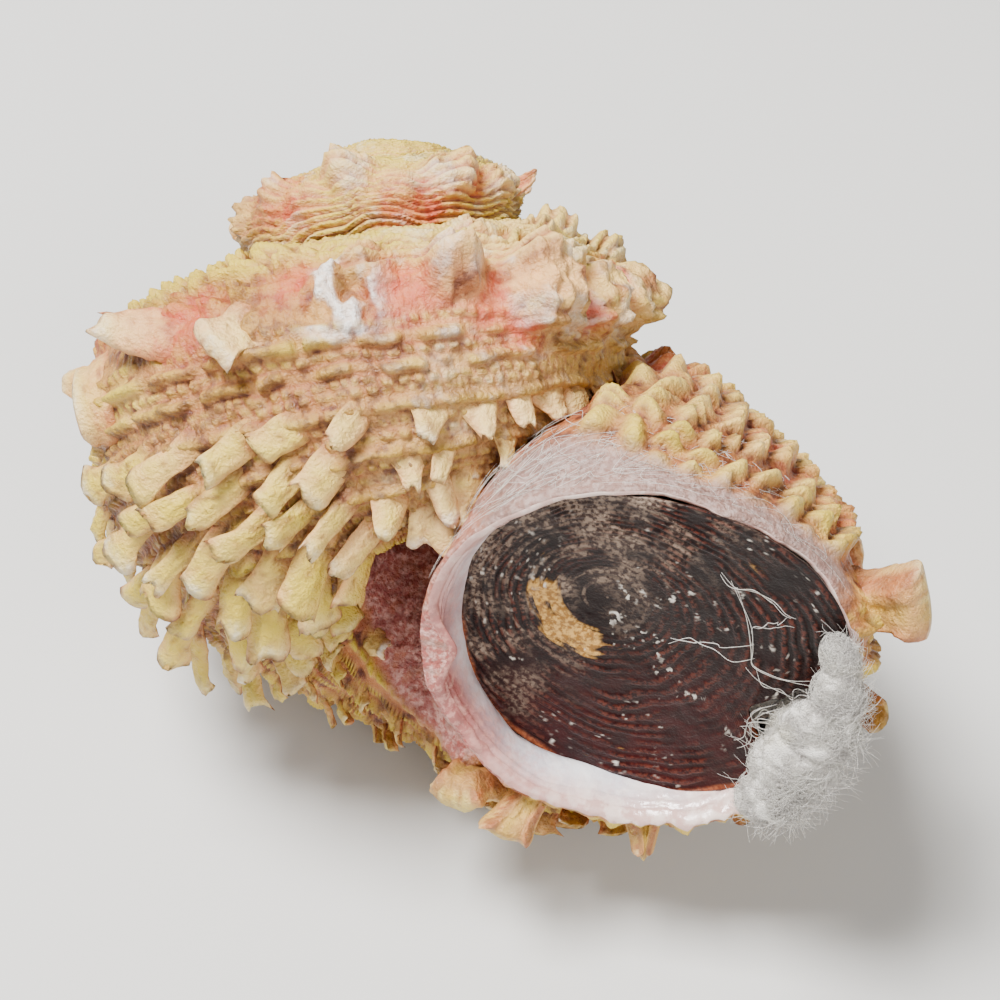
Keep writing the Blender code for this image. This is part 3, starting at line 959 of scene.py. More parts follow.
@dataclass(frozen=True)
class Growths:
    """Every scale and spine of the shell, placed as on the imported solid."""

    seed: int = 11
    # The cords that carry scales. The first turns of the first four rows were read off the
    # photographed side, and the rest follow at an even gap.
    rows: tuple[Row, ...] = (
        Row(
            7.0,
            (-1.02, -0.99, -0.957, -0.93, -0.906, -0.879, -0.852, -0.811, -0.78, -0.745)
            + (-0.71, -0.675)
            + spread(-0.64, -0.05, 0.045),
            4.2, 2.2, 24.0, 0.95,
        ),
        Row(
            -9.0,
            (-0.985, -0.94, -0.9, -0.86, -0.831, -0.795, -0.765, -0.735, -0.703, -0.672)
            + spread(-0.64, -0.06, 0.045),
            4.0, 2.1, 24.0, 0.95,
        ),
        Row(
            -26.0,
            (-0.878, -0.851, -0.82, -0.79, -0.765, -0.735, -0.7, -0.668)
            + spread(-0.635, -0.06, 0.046),
            4.6, 1.95, 30.0, 1.0,
        ),
        Row(
            -43.0,
            (-0.84, -0.8, -0.754, -0.715, -0.672) + spread(-0.63, -0.06, 0.052),
            5.0, 2.2, 40.0, 1.05,
        ),
        Row(-61.0, spread(-0.77, -0.06, 0.055), 4.6, 2.3, 44.0, 1.05),
        Row(-80.0, spread(-0.72, -0.08, 0.058), 3.6, 2.2, 48.0, 1.0),
        Row(-99.0, spread(-0.62, -0.1, 0.066), 2.6, 2.4, 54.0, 0.85),
    )
    # Turn, length, width, lean, rise and tip of each spine along the shoulder.
    shoulder: tuple[tuple[float, ...], ...] = (
        (-0.09, 2.2, 3.6, 8.0, 45.0, 0.8),
        (-0.155, 3.2, 3.8, 8.0, 46.0, 0.7),
        (-0.22, 4.4, 3.8, 5.0, 46.0, 0.6),
        (-0.285, 4.6, 3.6, 5.0, 46.0, 0.55),
        (-0.35, 4.3, 3.4, 0.0, 44.0, 0.6),
        (-0.415, 4.4, 3.4, 0.0, 44.0, 0.55),
        (-0.48, 4.2, 3.2, -5.0, 44.0, 0.6),
        (-0.54, 4.2, 3.2, -5.0, 44.0, 0.6),
        (-0.6, 4.2, 3.2, -8.0, 44.0, 0.6),
        (-0.715, 5.8, 3.4, -4.0, 38.0, 0.6),
        (-1.1, 2.6, 3.0, -20.0, 50.0, 0.6),
        (-1.17, 2.6, 2.8, -10.0, 50.0, 0.6),
        (-1.24, 2.5, 2.8, -10.0, 50.0, 0.6),
        (-1.31, 2.4, 2.6, -10.0, 50.0, 0.6),
        (-1.38, 2.4, 2.6, -10.0, 50.0, 0.6),
        (-1.45, 2.2, 2.4, -10.0, 50.0, 0.6),
        (-1.52, 2.1, 2.4, -10.0, 50.0, 0.6),
        (-1.59, 2.0, 2.2, -10.0, 50.0, 0.6),
        (-2.06, 2.5, 1.7, -40.0, 60.0, 0.4),
        (-2.11, 1.8, 1.6, -20.0, 60.0, 0.5),
        (-2.22, 1.6, 1.5, -20.0, 60.0, 0.5),
        (-2.34, 1.4, 1.4, -20.0, 60.0, 0.5),
        (-2.46, 1.2, 1.2, -20.0, 60.0, 0.5),
    )
    # Spines of the lip and others that stand by themselves.
    lone: tuple[Blade, ...] = (
        Blade(-0.022, 36.0, 5.3, 4.4, 3.0, 12.0, 58.0, 1.05, Form.KNUCKLE, 0.6, 0.15),
        Blade(-0.76, 43.0, 3.2, 4.0, 1.7, 35.0, 48.0, 0.95, Form.KNUCKLE, 0.3, 0.25),
        Blade(-0.65, 36.0, 3.0, 5.0, 1.5, 10.0, 60.0, 0.95, Form.FLUTE, 0.5, 0.25, 0.3),
        Blade(-0.03, -100.0, 4.4, 3.4, 2.2, 20.0, 72.0, 0.9, Form.KNUCKLE, 1.0, 0.1),
        Blade(-0.03, -68.0, 3.6, 3.4, 2.0, 20.0, 70.0, 0.3, Form.KNUCKLE, 0.9, 0.3),
        Blade(-0.12, -108.0, 4.4, 4.6, 2.2, 60.0, 60.0, 0.9, Form.KNUCKLE, 0.9, 0.1),
        Blade(-0.371, -122.0, 2.0, 1.3, 0.8, 30.0, 60.0, 0.9, Form.FLUTE, 0.2, 0.7),
        Blade(-0.84, -38.0, 3.4, 2.4, 1.3, 80.0, 40.0, 0.9, Form.TOOTH, 0.3, 0.8),
    )

    def spines(self) -> list[Blade]:
        """The big blades: shoulder spines and those that stand by themselves.

        Returns:
            The blades.
        """
        thick, worn, red = 0.9, 0.25, 0.5
        made = []
        for turn, length, width, lean, rise, tip in self.shoulder:
            form = Form.TOOTH if turn > -0.18 else Form.FLUTE
            yellow = 0.55 if turn > -0.6 else 0.35
            angle = 40.0 if turn < -2.0 else 46.0
            made.append(
                Blade(turn, angle, length, width, thick, lean, rise, tip, form, yellow, worn, red)
            )
        return made + list(self.lone)

    def scales(self) -> list[Blade]:
        """The scales of the rows, with a little seeded variety.

        Scales of the older part that shows are pale and hang, and low rows shorten to the mouth.

        Returns:
            The blades.
        """
        shuffle = np.random.default_rng(self.seed)
        made = []
        for row in self.rows:
            for turn in row.turns:
                grown = COIL.detail(turn)
                pale = float(ease((-0.78 - turn) / 0.06))
                short = 1.0
                if -110.0 < row.angle < -35.0:
                    short = 1.0 - 0.55 * float(ease((turn + 0.54) / 0.1))
                low = float(ease((-30.0 - row.angle) / 30.0))
                lean = 14.0 + 64.0 * pale + 22.0 * low
                tip = row.tip * (1.0 - 0.68 * pale)
                spot = turn + shuffle.uniform(-0.003, 0.003)
                angle = row.angle + shuffle.uniform(-1.5, 1.5)
                length = row.length * grown * shuffle.uniform(0.85, 1.25) * (1.0 - 0.3 * pale)
                width = row.width * grown * shuffle.uniform(0.8, 1.2) * (1.0 + 0.9 * pale)
                thick = 0.32 * grown * (1.0 - 0.15 * pale)
                lean = lean + shuffle.uniform(-12.0, 12.0) * (1.0 + pale)
                rise = row.rise + shuffle.uniform(-8.0, 8.0) + 12.0 * pale
                tip = tip * shuffle.uniform(0.85, 1.35)
                yellow, worn = 1.0 - 0.65 * pale, 0.3 + 0.1 * pale + shuffle.uniform(-0.3, 0.3)
                length, width = length * short, width * (0.5 + 0.5 * short)
                sizes = (length, width, thick, lean, rise, tip)
                made.append(Blade(spot, angle, *sizes, Form.SCALE, yellow, worn))
        return made


class Ridge(Enum):
    """The kinds of spiral line: knobs of the ramp, ridges, square dashes and threads."""

    KNOBS = "knobs"
    MAIN = "main"
    DASHES = "dashes"
    THREAD = "thread"


@dataclass(frozen=True)
class Cord:
    """A raised spiral line: its angle, height, half width, beads and how deep they are cut."""

    kind: Ridge
    angle: float
    height: float
    spread: float
    gap: float
    cut: float


@dataclass(frozen=True)
class Sculpture:
    """The relief of the shell's surface and the paint that follows it."""

    # Where the spiral lines of each kind run round the tube.
    knob_angles: tuple[float, ...] = (57.0, 65.0, 74.0, 83.0, 92.0, 101.0, 110.0, 119.0, 128.0)
    dash_angles: tuple[float, ...] = (33.0, 22.0)
    main_angles: tuple[float, ...] = (7.0, -9.0, -26.0, -43.0, -61.0, -80.0, -99.0, -114.0)
    fine_angles: tuple[float, ...] = (
        39.0, 27.5, 16.6, 13.0, 1.4, -3.4, -15.0, -20.3, -32.5, -37.2, -49.5, -54.7, -67.2, -73.6,
        -86.2, -92.6, -105.5,
    )

    # Turn, angle, height and half width of each lump, and turn, angle and half width of each red
    # blotch, read off the photographed side.
    lumps: tuple[tuple[float, ...], ...] = (
        (-0.762, 40.0, 0.6, 1.5), (-0.827, 64.0, 1.5, 1.4), (-0.882, 56.0, 2.8, 1.5),
        (-0.937, 47.0, 3.8, 2.3), (-0.968, 62.0, 1.8, 1.4), (-0.995, 42.0, 2.2, 1.6),
        (-1.045, 43.0, 3.2, 1.8), (-1.07, 70.0, 1.5, 1.5), (-0.919, 98.0, 0.9, 1.4),
        (-0.98, 92.0, 0.9, 1.3), (-1.03, 98.0, 1.2, 1.5), (-1.62, 46.0, 1.0, 1.3),
        (-1.677, 56.0, 1.3, 1.3), (-1.73, 46.0, 0.9, 1.1), (-1.782, 64.0, 2.5, 1.5),
        (-1.84, 46.0, 0.9, 1.2), (-1.904, 58.0, 2.4, 1.4), (-1.98, 48.0, 1.4, 1.2),
        (-2.2, 50.0, 0.8, 1.0), (-2.36, 50.0, 0.7, 0.9),
    )
    blotches: tuple[tuple[float, ...], ...] = (
        (-0.848, 52.0, 1.5), (-0.908, 45.0, 1.6), (-0.915, 33.0, 1.0), (-0.972, 40.0, 1.1),
        (-0.79, 60.0, 1.2), (-1.02, 52.0, 1.2), (-0.72, 52.0, 1.7), (-1.677, 58.0, 1.7),
        (-1.71, 40.0, 1.2), (-1.855, 22.0, 1.6), (-1.93, 50.0, 1.0), (-0.12, 120.0, 2.0),
        (-0.07, 92.0, 1.2), (-0.055, 60.0, 1.0),
    )
    # Turn, angle and half width of the patch that is worn down to white chalk.
    eroded_place: Triple = (-0.812, 49.0, 2.0)
    # Millimetres over the surface in a turn and in a degree, at the mouth's size.
    turn_length: float = 154.0
    degree_length: float = 0.24
    blade_degree_length: float = 0.225

    def cords(self) -> list[Cord]:
        """All the spiral lines.

        Returns:
            The cords, in the order in which they are laid.
        """
        kinds = (
            (Ridge.KNOBS, self.knob_angles, 1.25, 3.5, 0.0165, 0.85),
            (Ridge.MAIN, self.main_angles, 0.6, 2.0, 0.026, 0.5),
            (Ridge.DASHES, self.dash_angles, 0.95, 2.2, 0.031, 0.95),
            (Ridge.THREAD, self.fine_angles, 0.42, 1.45, 0.0065, 0.95),
        )
        return [Cord(kind, angle, *sizes) for kind, angles, *sizes in kinds for angle in angles]

    def umbilicus(self, turn: Array, angle: Array) -> Array:
        """The smooth wall round the hollow axis, wider near the mouth."""
        start = -134.0 + 16.0 * ease((turn + 0.42) / 0.14)
        return 1.0 - ease((angle - start) / 9.0) * ease((158.0 - angle) / 16.0)

    def lip_band(self, turn: Array, angle: Array) -> Array:
        """The smooth band behind the upper lip, wider towards the whorl before it."""
        start = -0.02 - 0.022 * ease((angle - 95.0) / 50.0)
        return ease((turn - start) / 0.01) * ease((angle - 40.0) / 14.0)

    def nodules(self, turn: Array, angle: Array) -> Array:
        """Height of the big blunt lumps along the shoulder, where worn spines have grown over.

        Args:
            turn: turns of the points.
            angle: their angles in degrees.

        Returns:
            The heights in millimetres.
        """
        height = np.zeros_like(turn)
        for where, top, tall, wide in self.lumps:
            reach = self.distance(turn, angle, where, top) / wide
            height = np.maximum(height, tall * np.exp(-(reach**3.2)))
        return height

    def distance(self, turn: Array, angle: Array, where: float, top: float) -> Array:
        """Distance over the surface, in millimetres, from the place at one turn and angle."""
        grown = COIL.turn_growth**where
        along, round_it = self.turn_length * grown, self.degree_length * grown
        return np.hypot((turn - where) * along, (angle - top) * round_it)

    def eroded(self, turn: Array, angle: Array) -> Array:
        """How far the surface is worn to chalk, from 0 to 1."""
        where, top, wide = self.eroded_place
        return np.exp(-((self.distance(turn, angle, where, top) / wide) ** 4))

    def folds(self, turn: Array, angle: Array, points: Array) -> tuple[Array, Array]:
        """Where the older shoulder is folded, and how the spiral lines sway.

        Args:
            turn: turns of the points.
            angle: their angles in degrees.
            points: their places on the smooth tube.

        Returns:
            How folded each point is, and its angle among the swaying lines.
        """
        kink = ease((60.0 - np.abs(angle)) / 40.0)
        wave = -15.0 * np.exp(-(((turn + 1.8) / 0.045) ** 2)) * kink
        fold = ease((-0.74 - turn) / 0.08) * ease((angle - 52.0) / 8.0)
        spire = ease((-1.5 - turn) / 0.1) * ease((angle + 60.0) / 20.0)
        fold = np.maximum(fold, spire)
        sway = np.sin(math.tau * turn / 0.075 + 5.0 * rough_noise(points, 7.0, 2, 2))
        wave = wave + fold * (3.5 + 2.5 * lattice_noise(points, 4.0, 6)) * sway
        bent = angle + 2.2 * rough_noise(points, 5.0, 3) + 1.3 * lattice_noise(points, 1.3, 4)
        return fold, bent + wave

    def lines(
        self, turn: Array, points: Array, fold: Array, bent: Array
    ) -> tuple[Array, Array, Array]:
        """The spiral lines with their beads.

        Args:
            turn: turns of the points.
            points: their places on the smooth tube.
            fold: how folded the surface is there.
            bent: their angles among the swaying lines.

        Returns:
            The height, how much of a crest each point is, and how deep between beads.
        """
        spacing = COIL.spacing(turn)
        patches = self.patches(points)
        lift = np.zeros_like(turn)
        pit_and_shade = np.zeros_like(turn)
        strong = np.zeros_like(turn)
        for number, cord in enumerate(self.cords()):
            square = cord.kind in (Ridge.MAIN, Ridge.DASHES)
            thread = cord.kind is Ridge.THREAD
            away = np.abs((bent - cord.angle) / cord.spread)
            near = np.exp(-(away ** (3.5 if square else 2.0)))
            spot = near > 0.01
            if not spot.any():
                continue
            if cord.kind is Ridge.KNOBS:
                jitter = 1.2 * lattice_noise(points[spot], 3.4, 17 + number % 3) + 0.13 * number
            else:
                jitter = 0.6 * lattice_noise(points[spot], 1.9, 17 + number)
            step = (spacing[spot] / cord.gap + 0.37 * number + jitter) % 1.0
            if square:
                bead = ease(step / 0.12) * (1.0 - ease((step - 0.66) / 0.12))
                bead = bead * (0.75 + 0.25 * step)
            else:
                bead = ease(step / 0.55) * (1.0 - ease((step - 0.8) / 0.2))
            if thread:
                bead = 1.0 - (1.0 - bead) * ease(1.7 * patches[spot])
            plain = 1.0 - 0.8 * fold[spot] * (cord.kind in (Ridge.KNOBS, Ridge.DASHES))
            size = cord.height * plain * (0.55 + 0.9 * patches[spot])
            if thread:
                faint = lattice_noise(points[spot], 2.2, 71 + number)
                size = size * ease(0.7 + 1.6 * faint)
            cut = 1.0 - cord.cut * (1.0 - bead)
            lift[spot] = np.maximum(lift[spot], size * near[spot] * cut)
            crest = near[spot] * (0.35 + 0.65 * bead) * plain
            strong[spot] = np.maximum(strong[spot], crest * min(1.0, cord.height / 0.5))
            hollow = near[spot] * (1.0 - bead) * cord.cut * plain * (not square)
            pit_and_shade[spot] = np.maximum(pit_and_shade[spot], hollow)
        return lift, strong, pit_and_shade

    def patches(self, points: Array) -> Array:
        """Where the lines are stronger and where weaker, from 0 to about 1."""
        return 0.5 + 0.5 * rough_noise(points, 2.6, 13)

    def relief(
        self, turn: Array, angle: Array, points: Array, blades: list[Blade]
    ) -> tuple[Array, dict[str, Array]]:
        """Height of the surface over the smooth tube, and its paint.

        Args:
            turn: turns of the points.
            angle: their angles in degrees.
            points: their places on the smooth tube.
            blades: the scales and spines that grow there.

        Returns:
            The heights in millimetres and the masks by name.
        """
        fold, bent = self.folds(turn, angle, points)
        lift, strong, pit_and_shade = self.lines(turn, points, fold, bent)
        patches = self.patches(points)
        # The low ground between the cords is darkened in noisy patches, partly mottle and partly
        # painted shade.
        dark = ease(0.1 + 1.7 * lattice_noise(points, 0.85, 19))
        between = np.clip(1.0 - 1.7 * strong, 0.0, 1.0)
        pit_and_shade = np.maximum(pit_and_shade, 0.85 * between * dark * (1.0 - fold))
        # The folded shoulder has round ridges in place of beads, with painted shade in the creases
        # between them.
        ridges = 0.5 + 0.5 * np.cos(math.tau * bent / 7.5)
        lift = lift + 0.62 * fold * ease(ridges * 1.2)
        strong = np.maximum(strong, 0.9 * fold * ridges)
        pit_and_shade = np.maximum(pit_and_shade, fold * (1.0 - ridges) ** 3 * patches * 1.2)
        # On the ramp the ground between the knobs is darkened in patches, partly pit colour and
        # partly painted shade.
        ramp = ease((angle - 48.0) / 8.0) * (1.0 - fold)
        ramp = ramp * ease((150.0 - angle) / 16.0)
        between = np.clip(1.0 - 1.6 * strong, 0.0, 1.0)
        pit_and_shade = np.maximum(pit_and_shade, ramp * between * patches * 1.6)
        # Growth lines, uneven growth and grain, all weaker on the smooth parts.
        grown = COIL.detail(turn)
        rough = 1.0 - np.maximum(self.umbilicus(turn, angle), self.lip_band(turn, angle))
        crowded = COIL.spacing(turn) / 0.0034 + 0.8 * lattice_noise(points, 2.0, 5)
        height = grown * rough * (lift + 0.04 * np.sin(math.tau * crowded))
        height += 0.34 * grown * rough_noise(points, 4.2, 7) * (0.35 + 0.65 * rough)
        height += 0.17 * grown * rough_noise(points, 0.9, 9, 2) * (0.25 + 0.75 * rough)
        # Nodules with rough, chipped tops.
        moved_turn = turn + 0.006 * lattice_noise(points, 1.8, 14)
        moved_angle = angle + 5.0 * lattice_noise(points, 2.4, 15)
        lumps = self.nodules(moved_turn, moved_angle)
        chipped = 1.0 + 0.35 * rough_noise(points, 1.6, 11) + 0.2 * rough_noise(points, 0.6, 12, 2)
        height += lumps * chipped
        height += ease(lumps) * (0.05 - 1.2 * np.abs(rough_noise(points, 1.9, 27, 4)))
        strong = strong * (1.0 - 0.6 * ease(lumps))
        # Grains on the wall of the umbilicus, and facets in the eroded patch.
        grains = np.maximum(rough_noise(points, 1.3, 29, 3), 0.0) * self.umbilicus(turn, angle)
        height += 0.75 * grains * ease((-0.03 - turn) / 0.05)
        facets = 0.5 - np.abs(rough_noise(points, 2.2, 25))
        height += self.eroded(turn, angle) * (2.6 * facets - 0.4)
        # The surface swells under each blade, with painted shade in a ring round its root.
        swell = np.zeros_like(turn)
        for blade in blades:
            size = COIL.turn_growth**blade.turn
            away_turn = (turn - blade.turn) * self.turn_length * size
            away_angle = (angle - blade.angle) * self.blade_degree_length * size
            away_turn = np.where(away_turn < 0.0, 0.55, 1.3) * away_turn
            reach = (away_turn / (0.75 * blade.width)) ** 2
            reach = reach + (away_angle / (0.55 * blade.width)) ** 2
            near = reach < 6.0
            hill = np.exp(-reach[near])
            root_shade = np.exp(-4.0 * (np.sqrt(reach[near]) - 1.3) ** 2)
            swell[near] = np.maximum(swell[near], 0.26 * min(blade.width, 2.6) * hill)
            strong[near] = np.maximum(strong[near], 0.4 * hill)
            pit_and_shade[near] = np.maximum(pit_and_shade[near], 0.55 * root_shade)
        height += swell
        return height, self.masks(turn, angle, points, strong * rough, pit_and_shade * rough)

    def masks(
        self, turn: Array, angle: Array, points: Array, strong: Array, pit_and_shade: Array
    ) -> dict[str, Array]:
        """The paint of the outer surface.

        Args:
            turn: turns of the points.
            angle: their angles in degrees.
            points: their places.
            strong: how much of a cord's crest each is.
            pit_and_shade: how deep between beads each is, and painted shade in the hollows.

        Returns:
            The masks by name.
        """
        patch = rough_noise(points, 6.0, 21)
        back = ease((-0.78 - turn) / 0.1)
        ramp = ease((angle - 36.0) / 8.0) * ease((96.0 - angle) / 20.0)
        ramp = ramp * ease((turn + 0.68) / 0.06)
        rays = ease((np.sin(turn * math.tau * 11.0 + 2.0 * patch) - 0.35) / 0.5)
        red = 0.35 * ramp * rays
        for where, top, wide in self.blotches:
            reach = self.distance(turn, angle, where, top) / wide
            red = np.maximum(red, 1.3 * np.exp(-((0.85 * reach) ** 2)) * (0.95 + 0.8 * patch))
        eroded = self.eroded(turn, angle)
        facet = ease((0.3 - np.abs(rough_noise(points, 2.2, 25))) / 0.2)
        lumps = ease(self.nodules(turn, angle) / 1.6)
        tooth = ease((rough_noise(points, 1.1, 23) - 0.1) / 0.3)
        wall = self.umbilicus(turn, angle)
        band = self.lip_band(turn, angle)
        corner = ease((angle - 144.0) / 16.0) + ease((-130.0 - angle) / 10.0)
        since_spire = ease((turn + 1.2) / 0.1)
        # More cream on the older whorl: partly its paler colour, partly painted light where the
        # lamps reach it weakly.
        older = ease((-0.9 - turn) / 0.08) * since_spire
        young_ramp = ease((angle - 48.0) / 10.0) * ease((turn + 0.66) / 0.1)
        near_mouth = ease((turn + 0.3) / 0.2)
        left_side = ease((turn + 0.8) / 0.1) * ease((-0.6 - turn) / 0.15)
        return clipped(
            {
                "crest": strong * 1.35 + 0.15 * lumps + 0.4 * older,
                "pit_and_shade": (1.3 - 0.25 * back) * pit_and_shade + 0.2 * ease(-patch) * (1.0 - strong),
                "yellow": 1.0 - 0.3 * back * since_spire - 0.35 * young_ramp + 0.4 * patch,
                "red": red * (1.0 - 0.95 * lumps) * (1.0 - eroded),
                "worn": 1.2 * eroded * facet + 0.3 * back * tooth * strong + 0.2 * tooth * lumps,
                "rose": wall * (1.0 - band) * (1.0 - 0.35 * tooth) + 0.7 * band * corner,
                "lilac": band * (1.0 - 0.8 * corner) + 0.5 * wall * tooth * near_mouth,
                "olive": left_side * 0.8,
                "pink": back * (0.7 + 0.5 * patch) + 0.4 * lumps,
            }
        )


SCULPTURE = Sculpture()


@dataclass
class Whorls:
    """The tube itself: the spire, the body whorl, and the mouth with its lip and nacre."""

    calcite: Material
    nacre: Material
    blades: list[Blade]
    # Turns over which the lip is rounded, and the turn where the lining ends inside.
    lip_round: float = 0.007
    inner_end: float = -0.3

    def length(self, name: str, first: float, last: float, along: int, around: int) -> Object:
        """One length of the outer surface.

        Args:
            name: the piece's name.
            first: the turn at its older end.
            last: the turn at its younger end.
            along: faces along it.
            around: faces round it.

        Returns:
            The object.
        """
        piece = Piece(name, along, around)
        turn = first + (last - first) * piece.u
        angle = 360.0 * piece.v - 180.0
        base = COIL.point(turn, angle)
        height, masks = SCULPTURE.relief(turn, angle, base, self.near(first, last))
        points = base + COIL.axes(turn, angle)[2] * height[..., None]
        piece.shape(REST.lay(points), masks)
        piece.close()
        return piece.object(Node.SHELL, [self.calcite])

    def near(self, first: float, last: float) -> list[Blade]:
        """The blades that grow between two turns or close by."""
        return [blade for blade in self.blades if first - 0.04 < blade.turn < last + 0.04]

    def frill(self, angle: Array) -> Array:
        """How far the lip's edge has grown, uneven and scalloped on its lower side.

        Args:
            angle: angles round the lip, in degrees.

        Returns:
            The growth in turns.
        """
        edge = 0.004 * rough_noise(stacked(angle / 14.0), 1.0, 31)
        edge += 0.0035 * ease((angle + 40.0) / 20.0) * ease((60.0 - angle) / 20.0)
        scallops = rough_noise(stacked(angle / 5.0), 1.0, 33)
        edge += 0.0035 * scallops * ease((-10.0 - angle) / 20.0)
        return edge * ease((170.0 - np.abs(angle)) / 20.0) - 0.002

    def mouth(self, name: str, first: float, along: int, around: int) -> Object:
        """The last part of the body whorl, turned in at the lip and on into the bore.

        Args:
            name: the piece's name.
            first: the turn at its older end.
            along: faces along it, inside and out.
            around: faces round it.

        Returns:
            The object.
        """
        piece = Piece(name, along, around)
        angle = 360.0 * piece.v - 180.0
        # The shares of the grid that lie outside and over the lip; the rest is the lining.
        outer_share, lip_share = 0.72, 0.07
        outside = np.clip(piece.u / outer_share, 0.0, 1.0)
        over = np.clip((piece.u - outer_share) / lip_share, 0.0, 1.0)
        inner_share = 1.0 - outer_share - lip_share
        inside = np.clip((piece.u - outer_share - lip_share) / inner_share, 0.0, 1.0)
        last = -self.lip_round + self.frill(angle)
        turn = first + (last - first) * outside
        turn = turn + self.lip_round * np.sin(math.pi * over) * 0.9
        turn = turn + (self.inner_end - last) * inside**1.4
        thick = COIL.wall(np.minimum(turn, 0.0), angle)
        inset = thick * 0.5 * (1.0 - np.cos(math.pi * over))
        inset = np.where(inside > 0.0, thick, inset)
        tooth = 1.9 * bump(angle, -165.0, 9.0) * np.exp(-(((turn + 0.004) / 0.008) ** 2))
        tooth = tooth * ease(over * 2.0) * ease((0.12 - inside) / 0.1)
        base = COIL.point(turn, angle, inset + tooth)
        smooth = COIL.point(turn, angle)
        height, masks = SCULPTURE.relief(turn, angle, smooth, self.near(first, 0.0))
        height = height * (1.0 - ease(over * 1.2)) * (1.0 - (inside > 0.0))
        swell = 0.2 * rough_noise(base, 3.0, 41) * ease(over * 2.0)
        folds = np.sin(turn * 900.0 + 5.0 * rough_noise(base, 4.0, 43, 2))
        folds = folds * ease(inside / 0.02)
        swell = swell + 0.13 * folds * ease((0.16 - inside) / 0.1)
        normal = COIL.axes(turn, angle)[2]
        points = base + normal * (height + swell)[..., None]
        # Coral on the inner side, a tan rim that is wider below, and shade deep inside.
        columella = bump(angle, -152.0, 42.0)
        masks["inner"] = (over > 0.45).astype(float)
        masks["coral"] = columella * ease((0.35 - inside) / 0.3) * 1.1
        masks["rim"] = 1.0 - inside * (7.0 - 4.0 * bump(angle, -45.0, 30.0))
        masks["deep"] = ease((inside - 0.45) / 0.2)
        piece.shape(REST.lay(points), clipped(masks))
        piece.close()
        return piece.object(Node.SHELL, [self.calcite, self.nacre], "inner")

    def apex(self) -> Object:
        """The worn first whorl at the top of the spire.

        Returns:
            The object.
        """
        radius, depth = 1.7, -11.2
        piece = Piece("apex_cap", 24, 24)
        turn = math.tau * piece.u
        tilt = math.pi * (piece.v - 0.5)
        ball = stacked(np.cos(tilt) * np.cos(turn), np.cos(tilt) * np.sin(turn), np.sin(tilt))
        points = ball * (radius + 0.25 * rough_noise(ball * radius, 1.2, 51)[..., None])
        points = points + np.array((0.0, 0.0, depth))
        flat = np.ones_like(turn)
        masks = {"crest": flat * 0.4, "pink": flat * 0.8, "worn": flat * 0.4}
        piece.shape(REST.lay(points), masks)
        piece.close()
        return piece.object(Node.SHELL, [self.calcite])

    def build(self) -> None:
        """Build the tube from the apex to the lip."""
        self.apex()
        self.length("spire_whorls", -3.6, -1.55, 400, 180)
        self.length("upper_whorl", -1.55, -1.0, 330, 250)
        self.length("body_whorl_back", -1.0, -0.62, 330, 290)
        self.length("body_whorl_under", -0.62, -0.26, 330, 290)
        self.mouth("body_whorl_mouth", -0.26, 330, 290)


